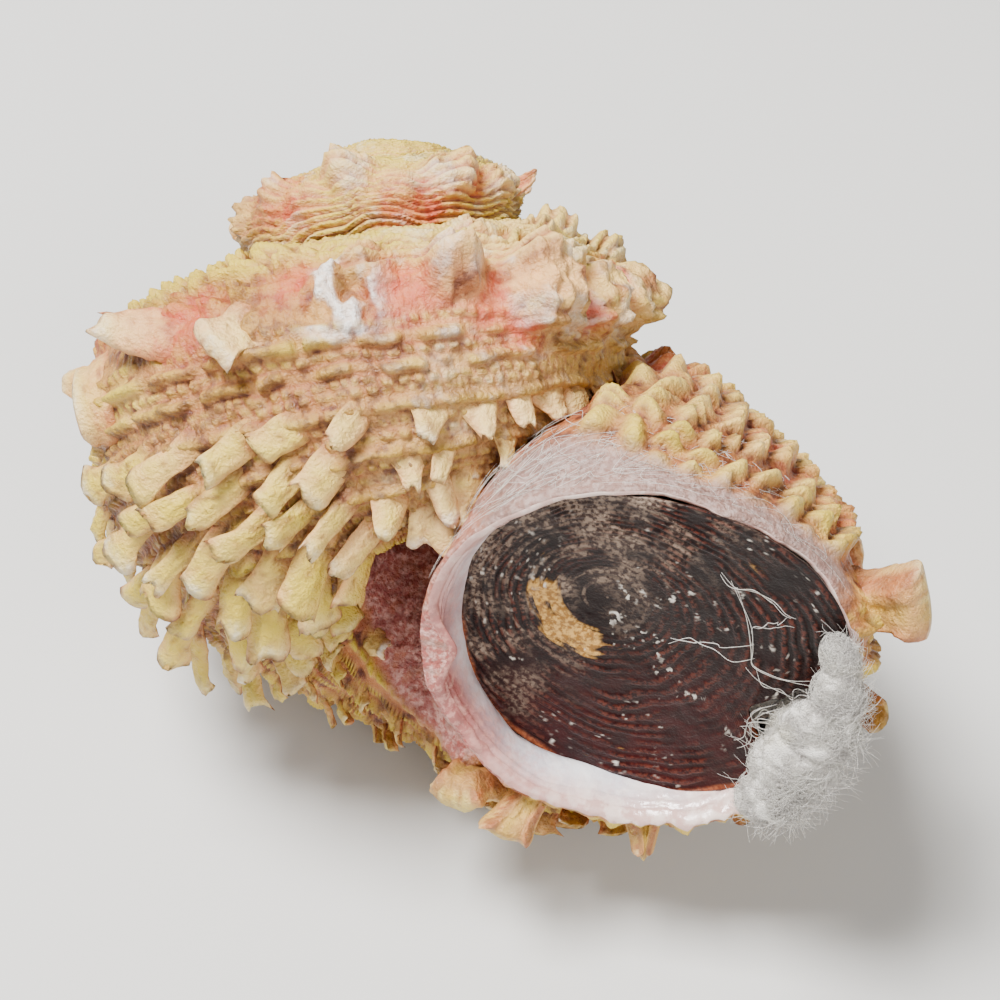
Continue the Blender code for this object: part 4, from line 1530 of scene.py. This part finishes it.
@dataclass
class Outgrowths:
    """A group of blades that grow out of the shell."""

    name: str
    blades: list[Blade]
    along: int
    around: int
    calcite: Material
    # How deep the blades' roots are sunk, and how far they are raised, in millimetres.
    root_depth: float = 1.0
    lift: float = 0.0
    seed: int = 5

    def build(self) -> Object:
        """Build every blade of the group as one piece.

        Returns:
            The object.
        """
        piece = Piece(self.name, self.along, self.around, len(self.blades))
        turn, angle, length, width, thick, lean, rise, tip = (
            np.array([getattr(blade, name) for blade in self.blades])
            for name in ("turn", "angle", "length", "width", "thick", "lean", "rise", "tip")
        )
        curl, thinning = np.array([blade.form.value for blade in self.blades]).T[:, :, None]
        growth, base, normal = COIL.axes(turn, angle)
        root = COIL.point(turn, angle)
        lean, rise = np.radians(lean)[:, None], np.radians(rise)[:, None]
        along = growth * np.cos(lean) + base * np.sin(lean)
        reach = length[:, None]
        start = root - normal * self.root_depth - along * 0.45 * reach
        root = root + normal * self.lift
        middle = root + along * 0.12 * reach + normal * 0.16 * reach
        end = root + (along * np.cos(rise) + normal * np.sin(rise)) * reach
        across = unit(np.cross(along, normal))
        shuffle = np.random.default_rng(self.seed)
        phases = shuffle.uniform(0.0, math.tau, (2, len(self.blades), 1))
        top = piece.v < 0.5
        side = -np.cos(math.tau * piece.v)
        skin = np.clip(np.sin(math.tau * piece.v) * 2.5, -1.0, 1.0)
        number = np.arange(len(self.blades))[:, None] * 3.7
        ragged = 0.078 * curl * lattice_noise(stacked(side * 1.7, number), 1.0, 63)
        way = piece.u * (1.0 - 0.03 * side**2 - ragged * piece.u**3)
        way3 = way[..., None]
        centre = (
            start[:, None] * (1.0 - way3) ** 2
            + middle[:, None] * (2.0 * way3 * (1.0 - way3))
            + end[:, None] * way3**2
        )
        swing = shuffle.uniform(-0.2, 0.2, (len(self.blades), 1)) * reach
        centre = centre + across[:, None] * (swing * way**2)[..., None]
        heading = unit((middle - start)[:, None] * (1.0 - way3) + (end - middle)[:, None] * way3)
        upward = unit(np.cross(across[:, None], heading))
        # The blade's width, which flares at a broad tip, and its thickness, which tapers.
        wide = 0.46 * width[:, None] * (1.0 + (tip[:, None] - 1.0) * way)
        wide = wide * (1.0 + 0.8 * (1.0 - way) ** 2)
        flare = 0.25 * ease((tip - 0.6) / 0.2)[:, None] * ease((way - 0.7) / 0.3)
        wide = wide * (1.0 + 0.12 * np.sin(way * 7.0 + phases[1]) + flare)
        bend = curl * side * (0.55 + 0.45 * way)
        taper = np.sqrt(np.clip(1.0 - piece.u**20, 0.0, 1.0))
        taper = taper * np.clip(1.0 - (1.0 - piece.u) ** 12, 0.0, 1.0)
        half = 0.5 * skin * thick[:, None] * (1.15 - thinning * way) * taper
        ripple = 0.045 * np.sin(way * 30.0 + phases[0] + 2.0 * side) * taper
        ripple = ripple * np.clip(skin, 0.0, 1.0)
        ripple = ripple + 0.09 * thick[:, None] * np.sin(way * 9.0 + phases[1]) * taper
        # Its section is bent round like a gutter.
        level = wide / np.maximum(np.sin(np.minimum(curl, 1.4)), 0.5)
        sideways = level * np.sin(bend) + np.sin(bend) * half
        above = -0.75 * level * (1.0 - np.cos(bend)) + np.cos(bend) * half + ripple
        points = centre + across[:, None] * sideways[..., None] + upward * above[..., None]
        lump = rough_noise(points, 1.2, 61)
        grain = rough_noise(points, 0.5, 65, 2)
        lumpy = (0.3 * lump + 0.12 * grain + 0.08 * np.sin(side * 9.0 + phases[0])) * taper
        askew = 0.14 * curl * lump * taper
        points = points + upward * lumpy[..., None] + across[:, None] * askew[..., None]
        yellow, worn, red = (
            np.array([getattr(blade, name) for blade in self.blades])[:, None]
            for name in ("yellow", "worn", "red")
        )
        yellow = yellow * shuffle.uniform(0.55, 1.1, swing.shape)
        under = np.where(top, 0.0, 1.0)
        # Cream towards the tip, with painted light on the top and less at the flanks and underside.
        tip_cream_and_light = ease((way - 0.2) / 0.4) * (1.0 - 0.6 * side**2) - 0.4 * under
        # Painted shade at the root and on the underside in the gutter, with brown mottle; worn
        # white at the very tip.
        brown = 0.45 * (1.0 - ease((way - 0.3) / 0.3)) + 0.8 * under * (1.0 - 0.5 * way)
        brown = brown + 0.8 * ease((grain - 0.2) / 0.3) * (1.0 - 0.6 * way)
        rubbed = ease((way - 0.8) / 0.2) * (0.6 + 1.4 * lump) * (1.0 - under)
        masks = {
            "crest": tip_cream_and_light + 0.4 * lump - 0.5 * red,
            "pit_and_shade": np.minimum(brown, np.clip(curl - 0.15, 0.3, 1.0)),
            "yellow": yellow * (1.15 - 0.5 * side**2) + 0.35 * lump,
            "worn": worn * rubbed,
            "red": red * (1.0 - ease((way - 0.6) / 0.3)) * (0.8 + lump),
            "pink": (0.7 - yellow) * np.ones_like(way),
        }
        piece.shape(REST.lay(points), clipped(masks))
        piece.close()
        return piece.object(Node.SHELL, [self.calcite])


@dataclass(frozen=True)
class MouthPlane:
    """The plane of the mouth, and the lid's own plane a little way into it."""

    # The lid's radius, how far it lies in, aside and up in millimetres, its tilts in degrees, and
    # how deep it is dished.
    lid_radius: float = 12.7
    recess: float = 1.9
    aside: float = -0.5
    aside_up: float = 0.5
    tilt_out: float = -6.5
    tilt_up: float = -8.5
    dish: float = 0.5

    def rim(self) -> tuple[Array, Array, Array, Array]:
        """Middle of the rim, its outward and apexward directions and the way it faces."""
        centre, outward, upward, _, _ = COIL.frames(np.array(0.0))
        return centre, outward, upward, np.cross(outward, upward)

    def lid(self) -> tuple[Array, Array, Array, Array]:
        """Middle of the lid, its two directions across and the way it faces.

        Returns:
            The middle and the three directions, in the shell's frame.
        """
        centre, outward, upward, front = self.rim()
        middle = centre + outward * self.aside + upward * self.aside_up - front * self.recess
        facing = front + outward * math.tan(math.radians(self.tilt_out))
        facing = unit(facing + upward * math.tan(math.radians(self.tilt_up)))
        across = unit(outward - facing * np.dot(outward, facing))
        return middle, across, np.cross(facing, across), facing

    def on_rim(self, angle: Array, distance: Array, height: Array) -> Array:
        """Points from the middle of the mouth.

        Args:
            angle: angles round it in degrees.
            distance: distances from its middle.
            height: heights in front of the rim.

        Returns:
            Their places in the shell's frame.
        """
        centre, outward, upward, front = self.rim()
        phase = np.radians(np.asarray(angle))[..., None]
        flat = outward * np.cos(phase) + upward * np.sin(phase)
        distance, height = np.asarray(distance)[..., None], np.asarray(height)[..., None]
        return centre + flat * distance + front * height

    def on_lid(self, x: Array, y: Array, height: Array) -> Array:
        """Points over the dished lid.

        Args:
            x: distances outward from its middle.
            y: distances apexward.
            height: heights over its face.

        Returns:
            Their places in the shell's frame.
        """
        middle, across, upward, facing = self.lid()
        x, y, height = (np.asarray(value, dtype=float)[..., None] for value in (x, y, height))
        share = np.sqrt(x * x + y * y) / self.lid_radius
        lift = height + self.dish * (share * share - 1.0)
        return middle + across * x + upward * y + facing * lift


MOUTH = MouthPlane()


@dataclass
class Lid:
    """The horny lid: a thin dished disc of growth rings, with a ragged notch and a lower layer."""

    horn: Material
    # Where the growth rings start, how wide a ring is, and the thickness in the middle and at the
    # edge, in millimetres.
    nucleus: tuple[float, float] = (-3.3, 2.4)
    ring_gap: float = 0.62
    thick: float = 0.8
    edge: float = 0.35
    # The share of the grid that is the back of each layer.
    upper_fold: float = 0.15
    lower_fold: float = 0.4

    def outline(self, angle: Array) -> Array:
        """The lid's radius in each direction, with its notch and small chips.

        Args:
            angle: directions on the lid, in degrees.

        Returns:
            The radii in millimetres.
        """
        radius = MOUTH.lid_radius + 0.75 - 0.7 * bump(angle, -168.0, 36.0)
        radius = radius + 1.45 * bump(angle, 50.0, 34.0) + 0.75 * bump(angle, -66.0, 40.0)
        radius = radius + 0.55 * bump(angle, -122.0, 30.0)
        rising = ease((angle + 36.0) / 22.0)
        falling = ease((29.0 - angle) / 43.0)
        notch = np.where(angle < -14.0, rising, falling)
        ring = stacked(np.cos(np.radians(angle)), np.sin(np.radians(angle))) * 12.0
        chips = 0.16 * rough_noise(ring, 1.6, 71) * (1.0 + 2.5 * notch)
        return radius * (1.0 - 0.36 * notch) + chips - 0.12

    def rings(self, x: Array, y: Array) -> tuple[Array, Array, Array]:
        """The growth rings.

        Args:
            x: distances outward from the lid's middle.
            y: distances apexward.

        Returns:
            Distance and direction from the nucleus, and the rings' height from 0 to 1.
        """
        dx, dy = x - self.nucleus[0], y - self.nucleus[1]
        away = np.hypot(dx, dy)
        way = np.degrees(np.arctan2(dy, dx))
        flat = stacked(x, y)
        stretch = 1.0 + 0.0035 * x
        stretch = stretch + 0.3 * np.cos(np.radians(way + 40.0)) * ease(away / 12.0)
        phase = away / (self.ring_gap * stretch) + way / 360.0
        phase = phase + 0.75 * rough_noise(flat, 3.8, 73, 4)
        line = ease(0.5 + 0.75 * np.sin(math.tau * phase))
        line = line * (0.55 + 0.45 * lattice_noise(flat, 2.3, 77))
        return away, way, line * ease((lattice_noise(flat, 1.6, 79) + 0.75) / 0.8)

    def crust(self, flat: Array, polar: Array, away: Array, way: Array) -> Array:
        """The golden crust beside the nucleus.

        Args:
            flat: places on the lid.
            polar: the same, drawn out along the rings.
            away: distances from the nucleus.
            way: directions from it, in degrees.

        Returns:
            How much of the crust each place has, from 0 to 1.
        """
        aside = np.abs((way + 128.0 + 180.0) % 360.0 - 180.0)
        arc = np.exp(-(((away - 4.4) / 1.6) ** 2)) * ease((62.0 - aside) / 26.0)
        grain = 0.5 * rough_noise(polar, 1.0, 87, 4) + 0.3 * rough_noise(flat, 1.5, 88, 3)
        return ease((arc + grain - 0.45) / 0.3)

    def dust(self, x: Array, y: Array, flat: Array, polar: Array) -> Array:
        """Grey dust on the left and upper part, in streaks along the rings.

        Args:
            x: distances outward from the lid's middle.
            y: distances apexward.
            flat: places on the lid.
            polar: the same, drawn out along the rings.

        Returns:
            How dusty each place is.
        """
        left = ease((2.0 - (x * 0.85 - y * 0.35)) / 9.0)
        streak = ease((rough_noise(polar, 1.0, 92, 4) + 0.1) / 0.5)
        dust = left * (0.05 + 0.9 * rough_noise(flat, 2.0, 91, 4)) + 0.75 * streak * left
        return dust + 0.25 * ease((y - 3.0) / 5.0) * ease((2.0 - x) / 6.0)

    def specks(self, x: Array, y: Array, flat: Array) -> Array:
        """White specks here and there, thicker near the middle.

        Args:
            x: distances outward from the lid's middle.
            y: distances apexward.
            flat: places on the lid.

        Returns:
            How white each place is, from 0 to 1.
        """
        dots = ease((lattice_noise(flat, 0.26, 93) - 0.72) / 0.1)
        dots = dots * ease((rough_noise(flat, 3.2, 95) - 0.2) / 0.15)
        centre = np.exp(-(((x - 0.5) / 3.2) ** 2) - (((y - 0.5) / 3.4) ** 2))
        clump = ease((rough_noise(flat, 0.34, 96, 2) - 0.42 + 0.12 * centre) / 0.1)
        clump = clump * ease((rough_noise(flat, 2.0, 98, 2) - 0.42 + 0.3 * centre) / 0.1)
        return np.maximum(dots, clump)

    def disc(self, name: str, scale: float, shift: Triple, lower: bool) -> Object:
        """One layer of the lid.

        Args:
            name: the piece's name.
            scale: its size against the lid's outline.
            shift: how far it is moved outward, apexward and forward.
            lower: whether it is the lower layer that shows along one edge.

        Returns:
            The object.
        """
        piece = Piece(name, 90 if lower else 230, 360)
        upper = 0.0 if lower else 1.0
        angle = 360.0 * piece.v - 180.0
        fold = self.lower_fold if lower else self.upper_fold
        back = piece.u < fold
        share = np.where(back, piece.u / fold, (1.0 - piece.u) / (1.0 - fold))
        radius = self.outline(angle) * scale * share
        x = radius * np.cos(np.radians(angle)) + shift[0]
        y = radius * np.sin(np.radians(angle)) + shift[1]
        away, way, line = self.rings(x, y)
        flat = stacked(x, y)
        drawn_out = away / 2.6
        polar = stacked(
            np.cos(np.radians(way)) * drawn_out, np.sin(np.radians(way)) * drawn_out, away / 0.32
        )
        crust = self.crust(flat, polar, away, way)
        # Rings that fade towards the nucleus, a hollow there, and the thickness of the crust.
        height = 0.12 * line * ease(away / 2.0)
        height = height * (0.35 + 0.65 * ease((away - 3.0) / 6.0))
        height = height + 0.05 * rough_noise(flat, 0.8, 83) + 0.14 * rough_noise(flat, 4.0, 85)
        height = height - 0.35 * np.exp(-((away / 2.2) ** 2))
        height = height + 0.16 * crust * (1.0 + 0.6 * rough_noise(flat, 0.5, 89))
        height = height * ease((1.0 - share) / 0.04)
        depth = self.edge + (self.thick - self.edge) * (1.0 - share)
        height = np.where(back, -depth, height) + shift[2]
        rim = ease((share - 0.955) / 0.03) * ease((-2.0 - y) / 4.0)
        masks = {
            "dust": self.dust(x, y, flat, polar) * upper,
            "residue": crust,
            # The ring crests are painted lighter brown, as painted highlights.
            "ring_highlight": line * ease((away - 2.0) / 4.0),
            "amber": 0.9 * (1.0 - upper) + 0.8 * upper * rim,
            "wine": ease((x * 0.4 - y * 0.8 + 1.0) / 8.0),
            "speck": self.specks(x, y, flat) * upper,
        }
        piece.shape(REST.lay(MOUTH.on_lid(x, y, height)), clipped(masks))
        piece.close()
        return piece.object(Node.LID, [self.horn])

    def build(self) -> None:
        """Build both layers."""
        self.disc("lid", 1.0, (0.0, 0.0, 0.0), False)
        self.disc("lid_lower_layer", 0.985, (-0.42, -0.5, -0.42), True)


@dataclass
class CottonWool:
    """The wad behind the lid, its tuft over the lip, and loose fibres that have strayed."""

    fibre: Material
    seed: int = 23
    # No hair reaches farther forward than this, in metres.
    front_limit: float = -0.0237
    # Width in millimetres of the cells in which the lumps are fused.
    fuse_width: float = 0.26
    # The fibres' radii in millimetres. Real ones are a third as thick and would not show.
    layer_radii: tuple[float, float] = (0.019, 0.016)
    hair_radius: float = 0.014
    stray_radius: float = 0.03
    cobweb_radius: float = 0.015
    # Angle round the mouth, distance, height in front of the rim, and half sizes along the radius,
    # round it and through it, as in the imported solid.
    lumps: tuple[tuple[float, ...], ...] = (
        (0.0, 0.0, -6.4, 9.2, 9.2, 1.5),
        (-12.0, 9.4, -4.9, 1.8, 4.0, 2.2),
        (-9.0, 11.0, -1.6, 1.5, 2.6, 3.0),
        (-27.0, 12.3, 1.75, 2.5, 2.8, 1.2),
        (-13.0, 11.7, 1.75, 3.2, 3.0, 1.3),
        (3.0, 12.1, 1.75, 2.8, 3.0, 1.2),
        (18.0, 12.8, 1.7, 1.9, 2.8, 1.1),
        (31.0, 13.2, 1.6, 1.3, 2.2, 0.9),
    )

    def wad(self) -> Object:
        """The lumpy heart of the wad.

        Returns:
            The object.
        """
        _, outward, upward, front = (Vector(tuple(part)) for part in MOUTH.rim())
        heap = bmesh.new()
        for angle, distance, height, *halves in self.lumps:
            slack = 0.75 if halves[2] < 1.0 else 1.0
            radial_half, round_half, deep_half = (half * slack for half in halves)
            phase = math.radians(angle)
            radial = outward * math.cos(phase) + upward * math.sin(phase)
            turned = Matrix((radial, front.cross(radial), front)).transposed().to_4x4()
            halves = (radial_half * 0.93, round_half * 0.95, deep_half * 0.85, 1.0)
            stretch = Matrix.Diagonal(halves)
            middle = MOUTH.on_rim(np.array(angle), np.array(distance), np.array(height))
            placed = Matrix.Translation(Vector(tuple(middle))) @ turned @ stretch
            bmesh.ops.create_uvsphere(heap, u_segments=24, v_segments=12, radius=1.0, matrix=placed)
        rough = bpy.data.meshes.new("wad_lumps")
        heap.to_mesh(rough)
        heap.free()
        holder = bpy.data.objects.new("wad_lumps", rough)
        bpy.context.scene.collection.objects.link(holder)
        fuse = holder.modifiers.new("fuse", "REMESH")
        fuse.mode = "VOXEL"
        fuse.voxel_size = self.fuse_width
        evaluated = holder.evaluated_get(bpy.context.evaluated_depsgraph_get())
        fused = bpy.data.meshes.new_from_object(evaluated)
        bpy.data.objects.remove(holder)
        points = np.empty(len(fused.vertices) * 3)
        fused.vertices.foreach_get("co", points)
        points = points.reshape(-1, 3)
        normals = np.empty(len(fused.vertices) * 3)
        fused.vertices.foreach_get("normal", normals)
        centre, outward, upward, front = MOUTH.rim()
        x, y, z = ((points - centre) @ way for way in (outward, upward, front))
        # Noise drawn out along the radius, which reads as combed fibres.
        combed = stacked(np.hypot(x, y) / 1.7, np.arctan2(y, x) * 12.0 / 0.3, z / 0.35)
        height = 0.4 * rough_noise(points, 1.8, 97, 3) + 0.22 * rough_noise(combed, 1.0, 99, 2)
        points = points + normals.reshape(-1, 3) * height[:, None]
        fused.vertices.foreach_set("co", REST.lay(points).reshape(-1))
        fused.polygons.foreach_set("use_smooth", np.ones(len(fused.polygons), dtype=bool))
        fused.name = "cotton_wad"
        fused.materials.append(self.fibre)
        thing = bpy.data.objects.new("cotton_wad", fused)
        bpy.context.scene.collection.objects.link(thing)
        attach(thing, "root")
        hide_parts(Node.COTTON.value)
        LOG.info("cotton_wad: %d faces", len(fused.polygons))
        return thing

    def threads(self, name: str, paths: Array, radius: float) -> Object:
        """Thin round threads along paths.

        Args:
            name: the piece's name.
            paths: for each thread, its points in the shell's frame.
            radius: the threads' radius.

        Returns:
            The object.
        """
        count, steps, _ = paths.shape
        piece = Piece(name, steps - 1, 3, count)
        spot = np.rint(piece.u * (steps - 1)).astype(int)[..., None].repeat(3, -1)
        centre = np.take_along_axis(paths, spot, axis=1)
        heading = np.take_along_axis(unit(np.gradient(paths, axis=1)), spot, axis=1)
        side = unit(np.cross(heading, np.array((0.31, 0.55, 0.77))))
        other = np.cross(heading, side)
        phase = (math.tau * piece.v)[..., None]
        # Fibres thin out towards both ends.
        ends = (0.25 + 0.75 * np.sin(math.pi * np.clip(piece.u, 0.03, 0.97)) ** 0.4)[..., None]
        points = centre + (side * np.cos(phase) + other * np.sin(phase)) * radius * ends
        laid = REST.lay(points)
        laid[..., 1] = np.maximum(laid[..., 1], self.front_limit)
        piece.shape(laid, {})
        piece.close(FIBRE_WELD)
        return piece.object(Node.COTTON, [self.fibre])

    def tuft(self, count: int, share: int, fringe: bool = False) -> Array:
        """Paths of the combed fibres that cover the tuft, or of the hairs at its outer edge.

        Args:
            count: how many fibres.
            share: which share of them.
            fringe: whether they are the long hairs at the edge.

        Returns:
            The paths in the shell's frame.
        """
        shuffle = np.random.default_rng(self.seed + 7 * share)
        lumps = np.array(self.lumps[2:])
        lump = lumps[shuffle.integers(0, len(lumps), count)]
        _, outward, upward, front = MOUTH.rim()
        phase = np.radians(lump[:, 0])[:, None]
        radial = outward * np.cos(phase) + upward * np.sin(phase)
        sideways = np.cross(front, radial)
        middle = MOUTH.on_rim(lump[:, 0], lump[:, 1], lump[:, 2])
        size = lump[:, 3:6]
        pull = np.array((0.9 if fringe else 0.0, 0.0, 0.5))
        ball = unit(shuffle.normal(0.0, 1.0, (count, 3)) + pull)
        ball[:, 2] = np.abs(ball[:, 2])
        turned = np.radians(shuffle.normal(-34.0, 30.0, count))
        heading = stacked(np.cos(turned), np.sin(turned))
        stride = shuffle.uniform(0.16, 0.42, (count, 1))
        curl = shuffle.normal(0.0, 0.22, (count, 3))
        shell = shuffle.uniform(0.86, 1.03, (count, 1))
        loose = shuffle.uniform(*((0.25, 1.0) if fringe else (-0.12, 0.05)), (count, 1))
        steps = 8
        path = []
        for step in range(steps):
            spot = ball * size * (shell + loose * (step / steps) ** 2)
            aside = radial * spot[:, :1] + sideways * spot[:, 1:2]
            path.append(middle + aside + front * spot[:, 2:])
            jitter = shuffle.normal(0.0, 0.12, (count, 3))
            heading = unit(heading + np.cross(heading, curl) + jitter)
            ball = unit(ball + heading * stride / size)
        return np.stack(path, 1)

    def strays(self) -> Array:
        """Paths of the long fibres that lie over the lid, from places read on it.

        Returns:
            The paths in the shell's frame, two for each route.
        """
        routes = (
            ((3.6, 8.6), (6.0, 6.2), (6.9, 3.6), (7.0, 2.6), (9.4, 2.4), (12.0, 3.2)),
            ((7.0, 2.4), (8.4, 1.2), (9.6, 0.9), (10.4, 1.1), (11.0, 1.6), (11.4, 2.2)),
            ((6.3, 5.4), (6.9, 6.0), (7.3, 6.6), (7.6, 6.9), (8.0, 7.0), (8.3, 7.3)),
            ((2.8, 9.6), (4.0, 8.9), (5.2, 9.3), (6.6, 8.8), (7.4, 8.2), (8.4, 8.3)),
            ((6.8, 3.2), (5.6, 2.4), (4.4, 2.6), (3.2, 2.0), (2.4, 2.2), (1.4, 1.7)),
            ((10.4, -0.6), (9.0, -1.4), (8.6, -3.0), (9.6, -4.0), (10.6, -3.2), (10.2, -1.8)),
            ((9.2, -1.0), (8.4, -2.2), (9.4, -3.4), (10.2, -2.4), (9.4, -1.6), (8.8, -2.8)),
            ((8.3, -3.6), (9.2, -2.9), (10.4, -3.4), (10.8, -4.8), (9.8, -5.4), (9.0, -4.4)),
            ((10.9, -2.0), (10.1, -0.9), (9.3, -2.2), (9.9, -3.6), (11.0, -3.8), (11.4, -2.6)),
            ((8.7, -5.4), (9.3, -4.3), (8.8, -3.1), (9.5, -2.0), (10.6, -1.5), (11.6, -1.7)),
        )
        shuffle = np.random.default_rng(self.seed + 1)
        fine = np.linspace(0.0, 1.0, 40)
        kernel = np.hanning(11) / np.hanning(11).sum()
        paths = []
        for route in routes:
            marks = np.array(route)
            for _ in range(2):
                where = np.linspace(0.0, 1.0, len(marks))
                blur = marks + shuffle.normal(0.0, 0.3, marks.shape)
                x = np.interp(fine, where, blur[:, 0])
                y = np.interp(fine, where, blur[:, 1])
                x, y = (
                    np.convolve(np.pad(line, len(kernel) // 2, mode="edge"), kernel, mode="valid")
                    for line in (x, y)
                )
                rise = 0.32 + 0.25 * np.abs(np.sin(fine * math.pi * shuffle.uniform(1.0, 3.0)))
                paths.append(MOUTH.on_lid(x, y, rise))
        return np.stack(paths)

    def wisps(self, count: int) -> Array:
        """Paths of the cobweb fibres on the band behind the lip and in the umbilicus.

        Args:
            count: how many fibres; each third one is in the umbilicus.

        Returns:
            The paths in the shell's frame.
        """
        shuffle = np.random.default_rng(self.seed + 2)
        fine = np.linspace(0.0, 1.0, 16)
        paths = []
        for number in range(count):
            if number % 3:
                turn = shuffle.uniform(-0.045, -0.008)
                angle = shuffle.uniform(70.0, 165.0)
                swing = shuffle.uniform(-26.0, 26.0)
                drift = shuffle.uniform(-0.02, 0.02)
            else:
                turn = shuffle.uniform(-0.2, -0.05)
                angle = shuffle.uniform(-205.0, -140.0)
                swing = shuffle.uniform(-22.0, 22.0)
                drift = shuffle.uniform(-0.05, 0.05)
            wander = 0.004 * np.sin(fine * shuffle.uniform(3.0, 9.0))
            turns = np.minimum(turn + drift * fine + wander, -0.004)
            angles = angle + swing * fine + 2.5 * np.sin(fine * shuffle.uniform(3.0, 10.0))
            angles = (angles + 180.0) % 360.0 - 180.0
            base = COIL.point(turns, angles)
            lift = 0.18 + 0.25 * np.sin(math.pi * fine) * shuffle.uniform(0.2, 1.0)
            paths.append(base + COIL.axes(turns, angles)[2] * lift[:, None])
        return np.stack(paths)

    def build(self) -> None:
        """Build the wad, its two layers of fibres and its hairs, and the loose fibres."""
        self.wad()
        count = 3300
        first, second = self.layer_radii
        self.threads("cotton_tuft_first_layer", self.tuft(count, 0), first)
        self.threads("cotton_tuft_second_layer", self.tuft(count, 1), second)
        self.threads("cotton_tuft_edge_hairs", self.tuft(count // 3, 2, True), self.hair_radius)
        self.threads("stray_fibres", self.strays(), self.stray_radius)
        self.threads("cobweb_fibres", self.wisps(200), self.cobweb_radius)


@dataclass(frozen=True)
class Studio:
    """The floor, the lights and the camera."""

    # In the shell's frame: where the camera stands, and its right, up and backward directions.
    stand: Triple = (99.364, -154.773, -42.298)
    right: Triple = (0.8613, 0.5082, 0.0016)
    up: Triple = (0.0246, -0.0448, 0.9987)
    back: Triple = (0.5076, -0.8601, -0.0511)
    # The lens and the film's width in millimetres, and half the floor's width in metres.
    lens: float = 93.6
    film: float = 36.0
    floor_half: float = 1.5
    # A faint blue-grey sky fills the shadows.
    sky: str = "E8ECF0"
    sky_strength: float = 0.28

    def camera(self) -> None:
        """The camera at the photograph's viewing angle."""
        data = bpy.data.cameras.new("camera")
        data.lens = self.lens
        data.sensor_width = self.film
        data.clip_start = 0.005
        camera = bpy.data.objects.new("camera", data)
        bpy.context.scene.collection.objects.link(camera)
        turn = Matrix((self.right, self.up, self.back)).transposed().to_4x4()
        pose = REST.matrix() @ Matrix.Translation(Vector(self.stand) * MM) @ turn
        place, spin, _ = pose.decompose()
        camera.location = place
        camera.rotation_mode = "QUATERNION"
        camera.rotation_quaternion = spin
        bpy.context.scene.camera = camera

    def floor(self) -> None:
        """The pale floor that the shell lies on."""
        sheet = bmesh.new()
        bmesh.ops.create_grid(sheet, x_segments=2, y_segments=2, size=self.floor_half)
        mesh = bpy.data.meshes.new("studio_floor")
        sheet.to_mesh(mesh)
        sheet.free()
        mesh.materials.append(StudioPaper().material())
        floor = bpy.data.objects.new("studio_floor", mesh)
        bpy.context.scene.collection.objects.link(floor)

    def lamp(self, name: str, place: Triple, size: float, power: float) -> None:
        """A soft square lamp that points at the shell.

        Args:
            name: the lamp's name.
            place: where it hangs, in metres.
            size: its width.
            power: its power in watts.
        """
        data = bpy.data.lights.new(name, "AREA")
        data.size = size
        data.energy = power
        lamp = bpy.data.objects.new(name, data)
        bpy.context.scene.collection.objects.link(lamp)
        lamp.location = place
        aim = Vector((0.0, 0.0, 0.02)) - Vector(place)
        lamp.rotation_mode = "QUATERNION"
        lamp.rotation_quaternion = aim.to_track_quat("-Z", "Y")

    def build(self) -> None:
        """Build the studio."""
        self.floor()
        self.camera()
        self.lamp("key_lamp", (-0.15, 0.0, 0.42), 0.16, 5.8)
        self.lamp("fill_lamp", (0.26, -0.42, 0.34), 0.5, 3.0)
        world = bpy.data.worlds.new("studio")
        bpy.context.scene.world = world
        world.use_nodes = True
        light = world.node_tree.nodes["Background"].inputs
        light["Color"].default_value = linear(self.sky)
        light["Strength"].default_value = self.sky_strength


def main() -> None:
    """Load the frame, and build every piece."""
    logging.basicConfig(level=logging.INFO, format="%(name)s: %(message)s")
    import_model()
    calcite = ScalyCalcite().material()
    growths = Growths()
    spines, scales = growths.spines(), growths.scales()
    Whorls(calcite, Nacre().material(), spines + scales).build()
    Outgrowths("shoulder_and_lip_spines", spines, 26, 34, calcite, root_depth=1.3).build()
    Outgrowths("rows_of_scales", scales, 14, 22, calcite, root_depth=0.8, lift=0.6).build()
    Lid(DarkHorn().material()).build()
    CottonWool(CottonFibre().material()).build()
    Studio().build()


if __name__ == "__main__":
    main()
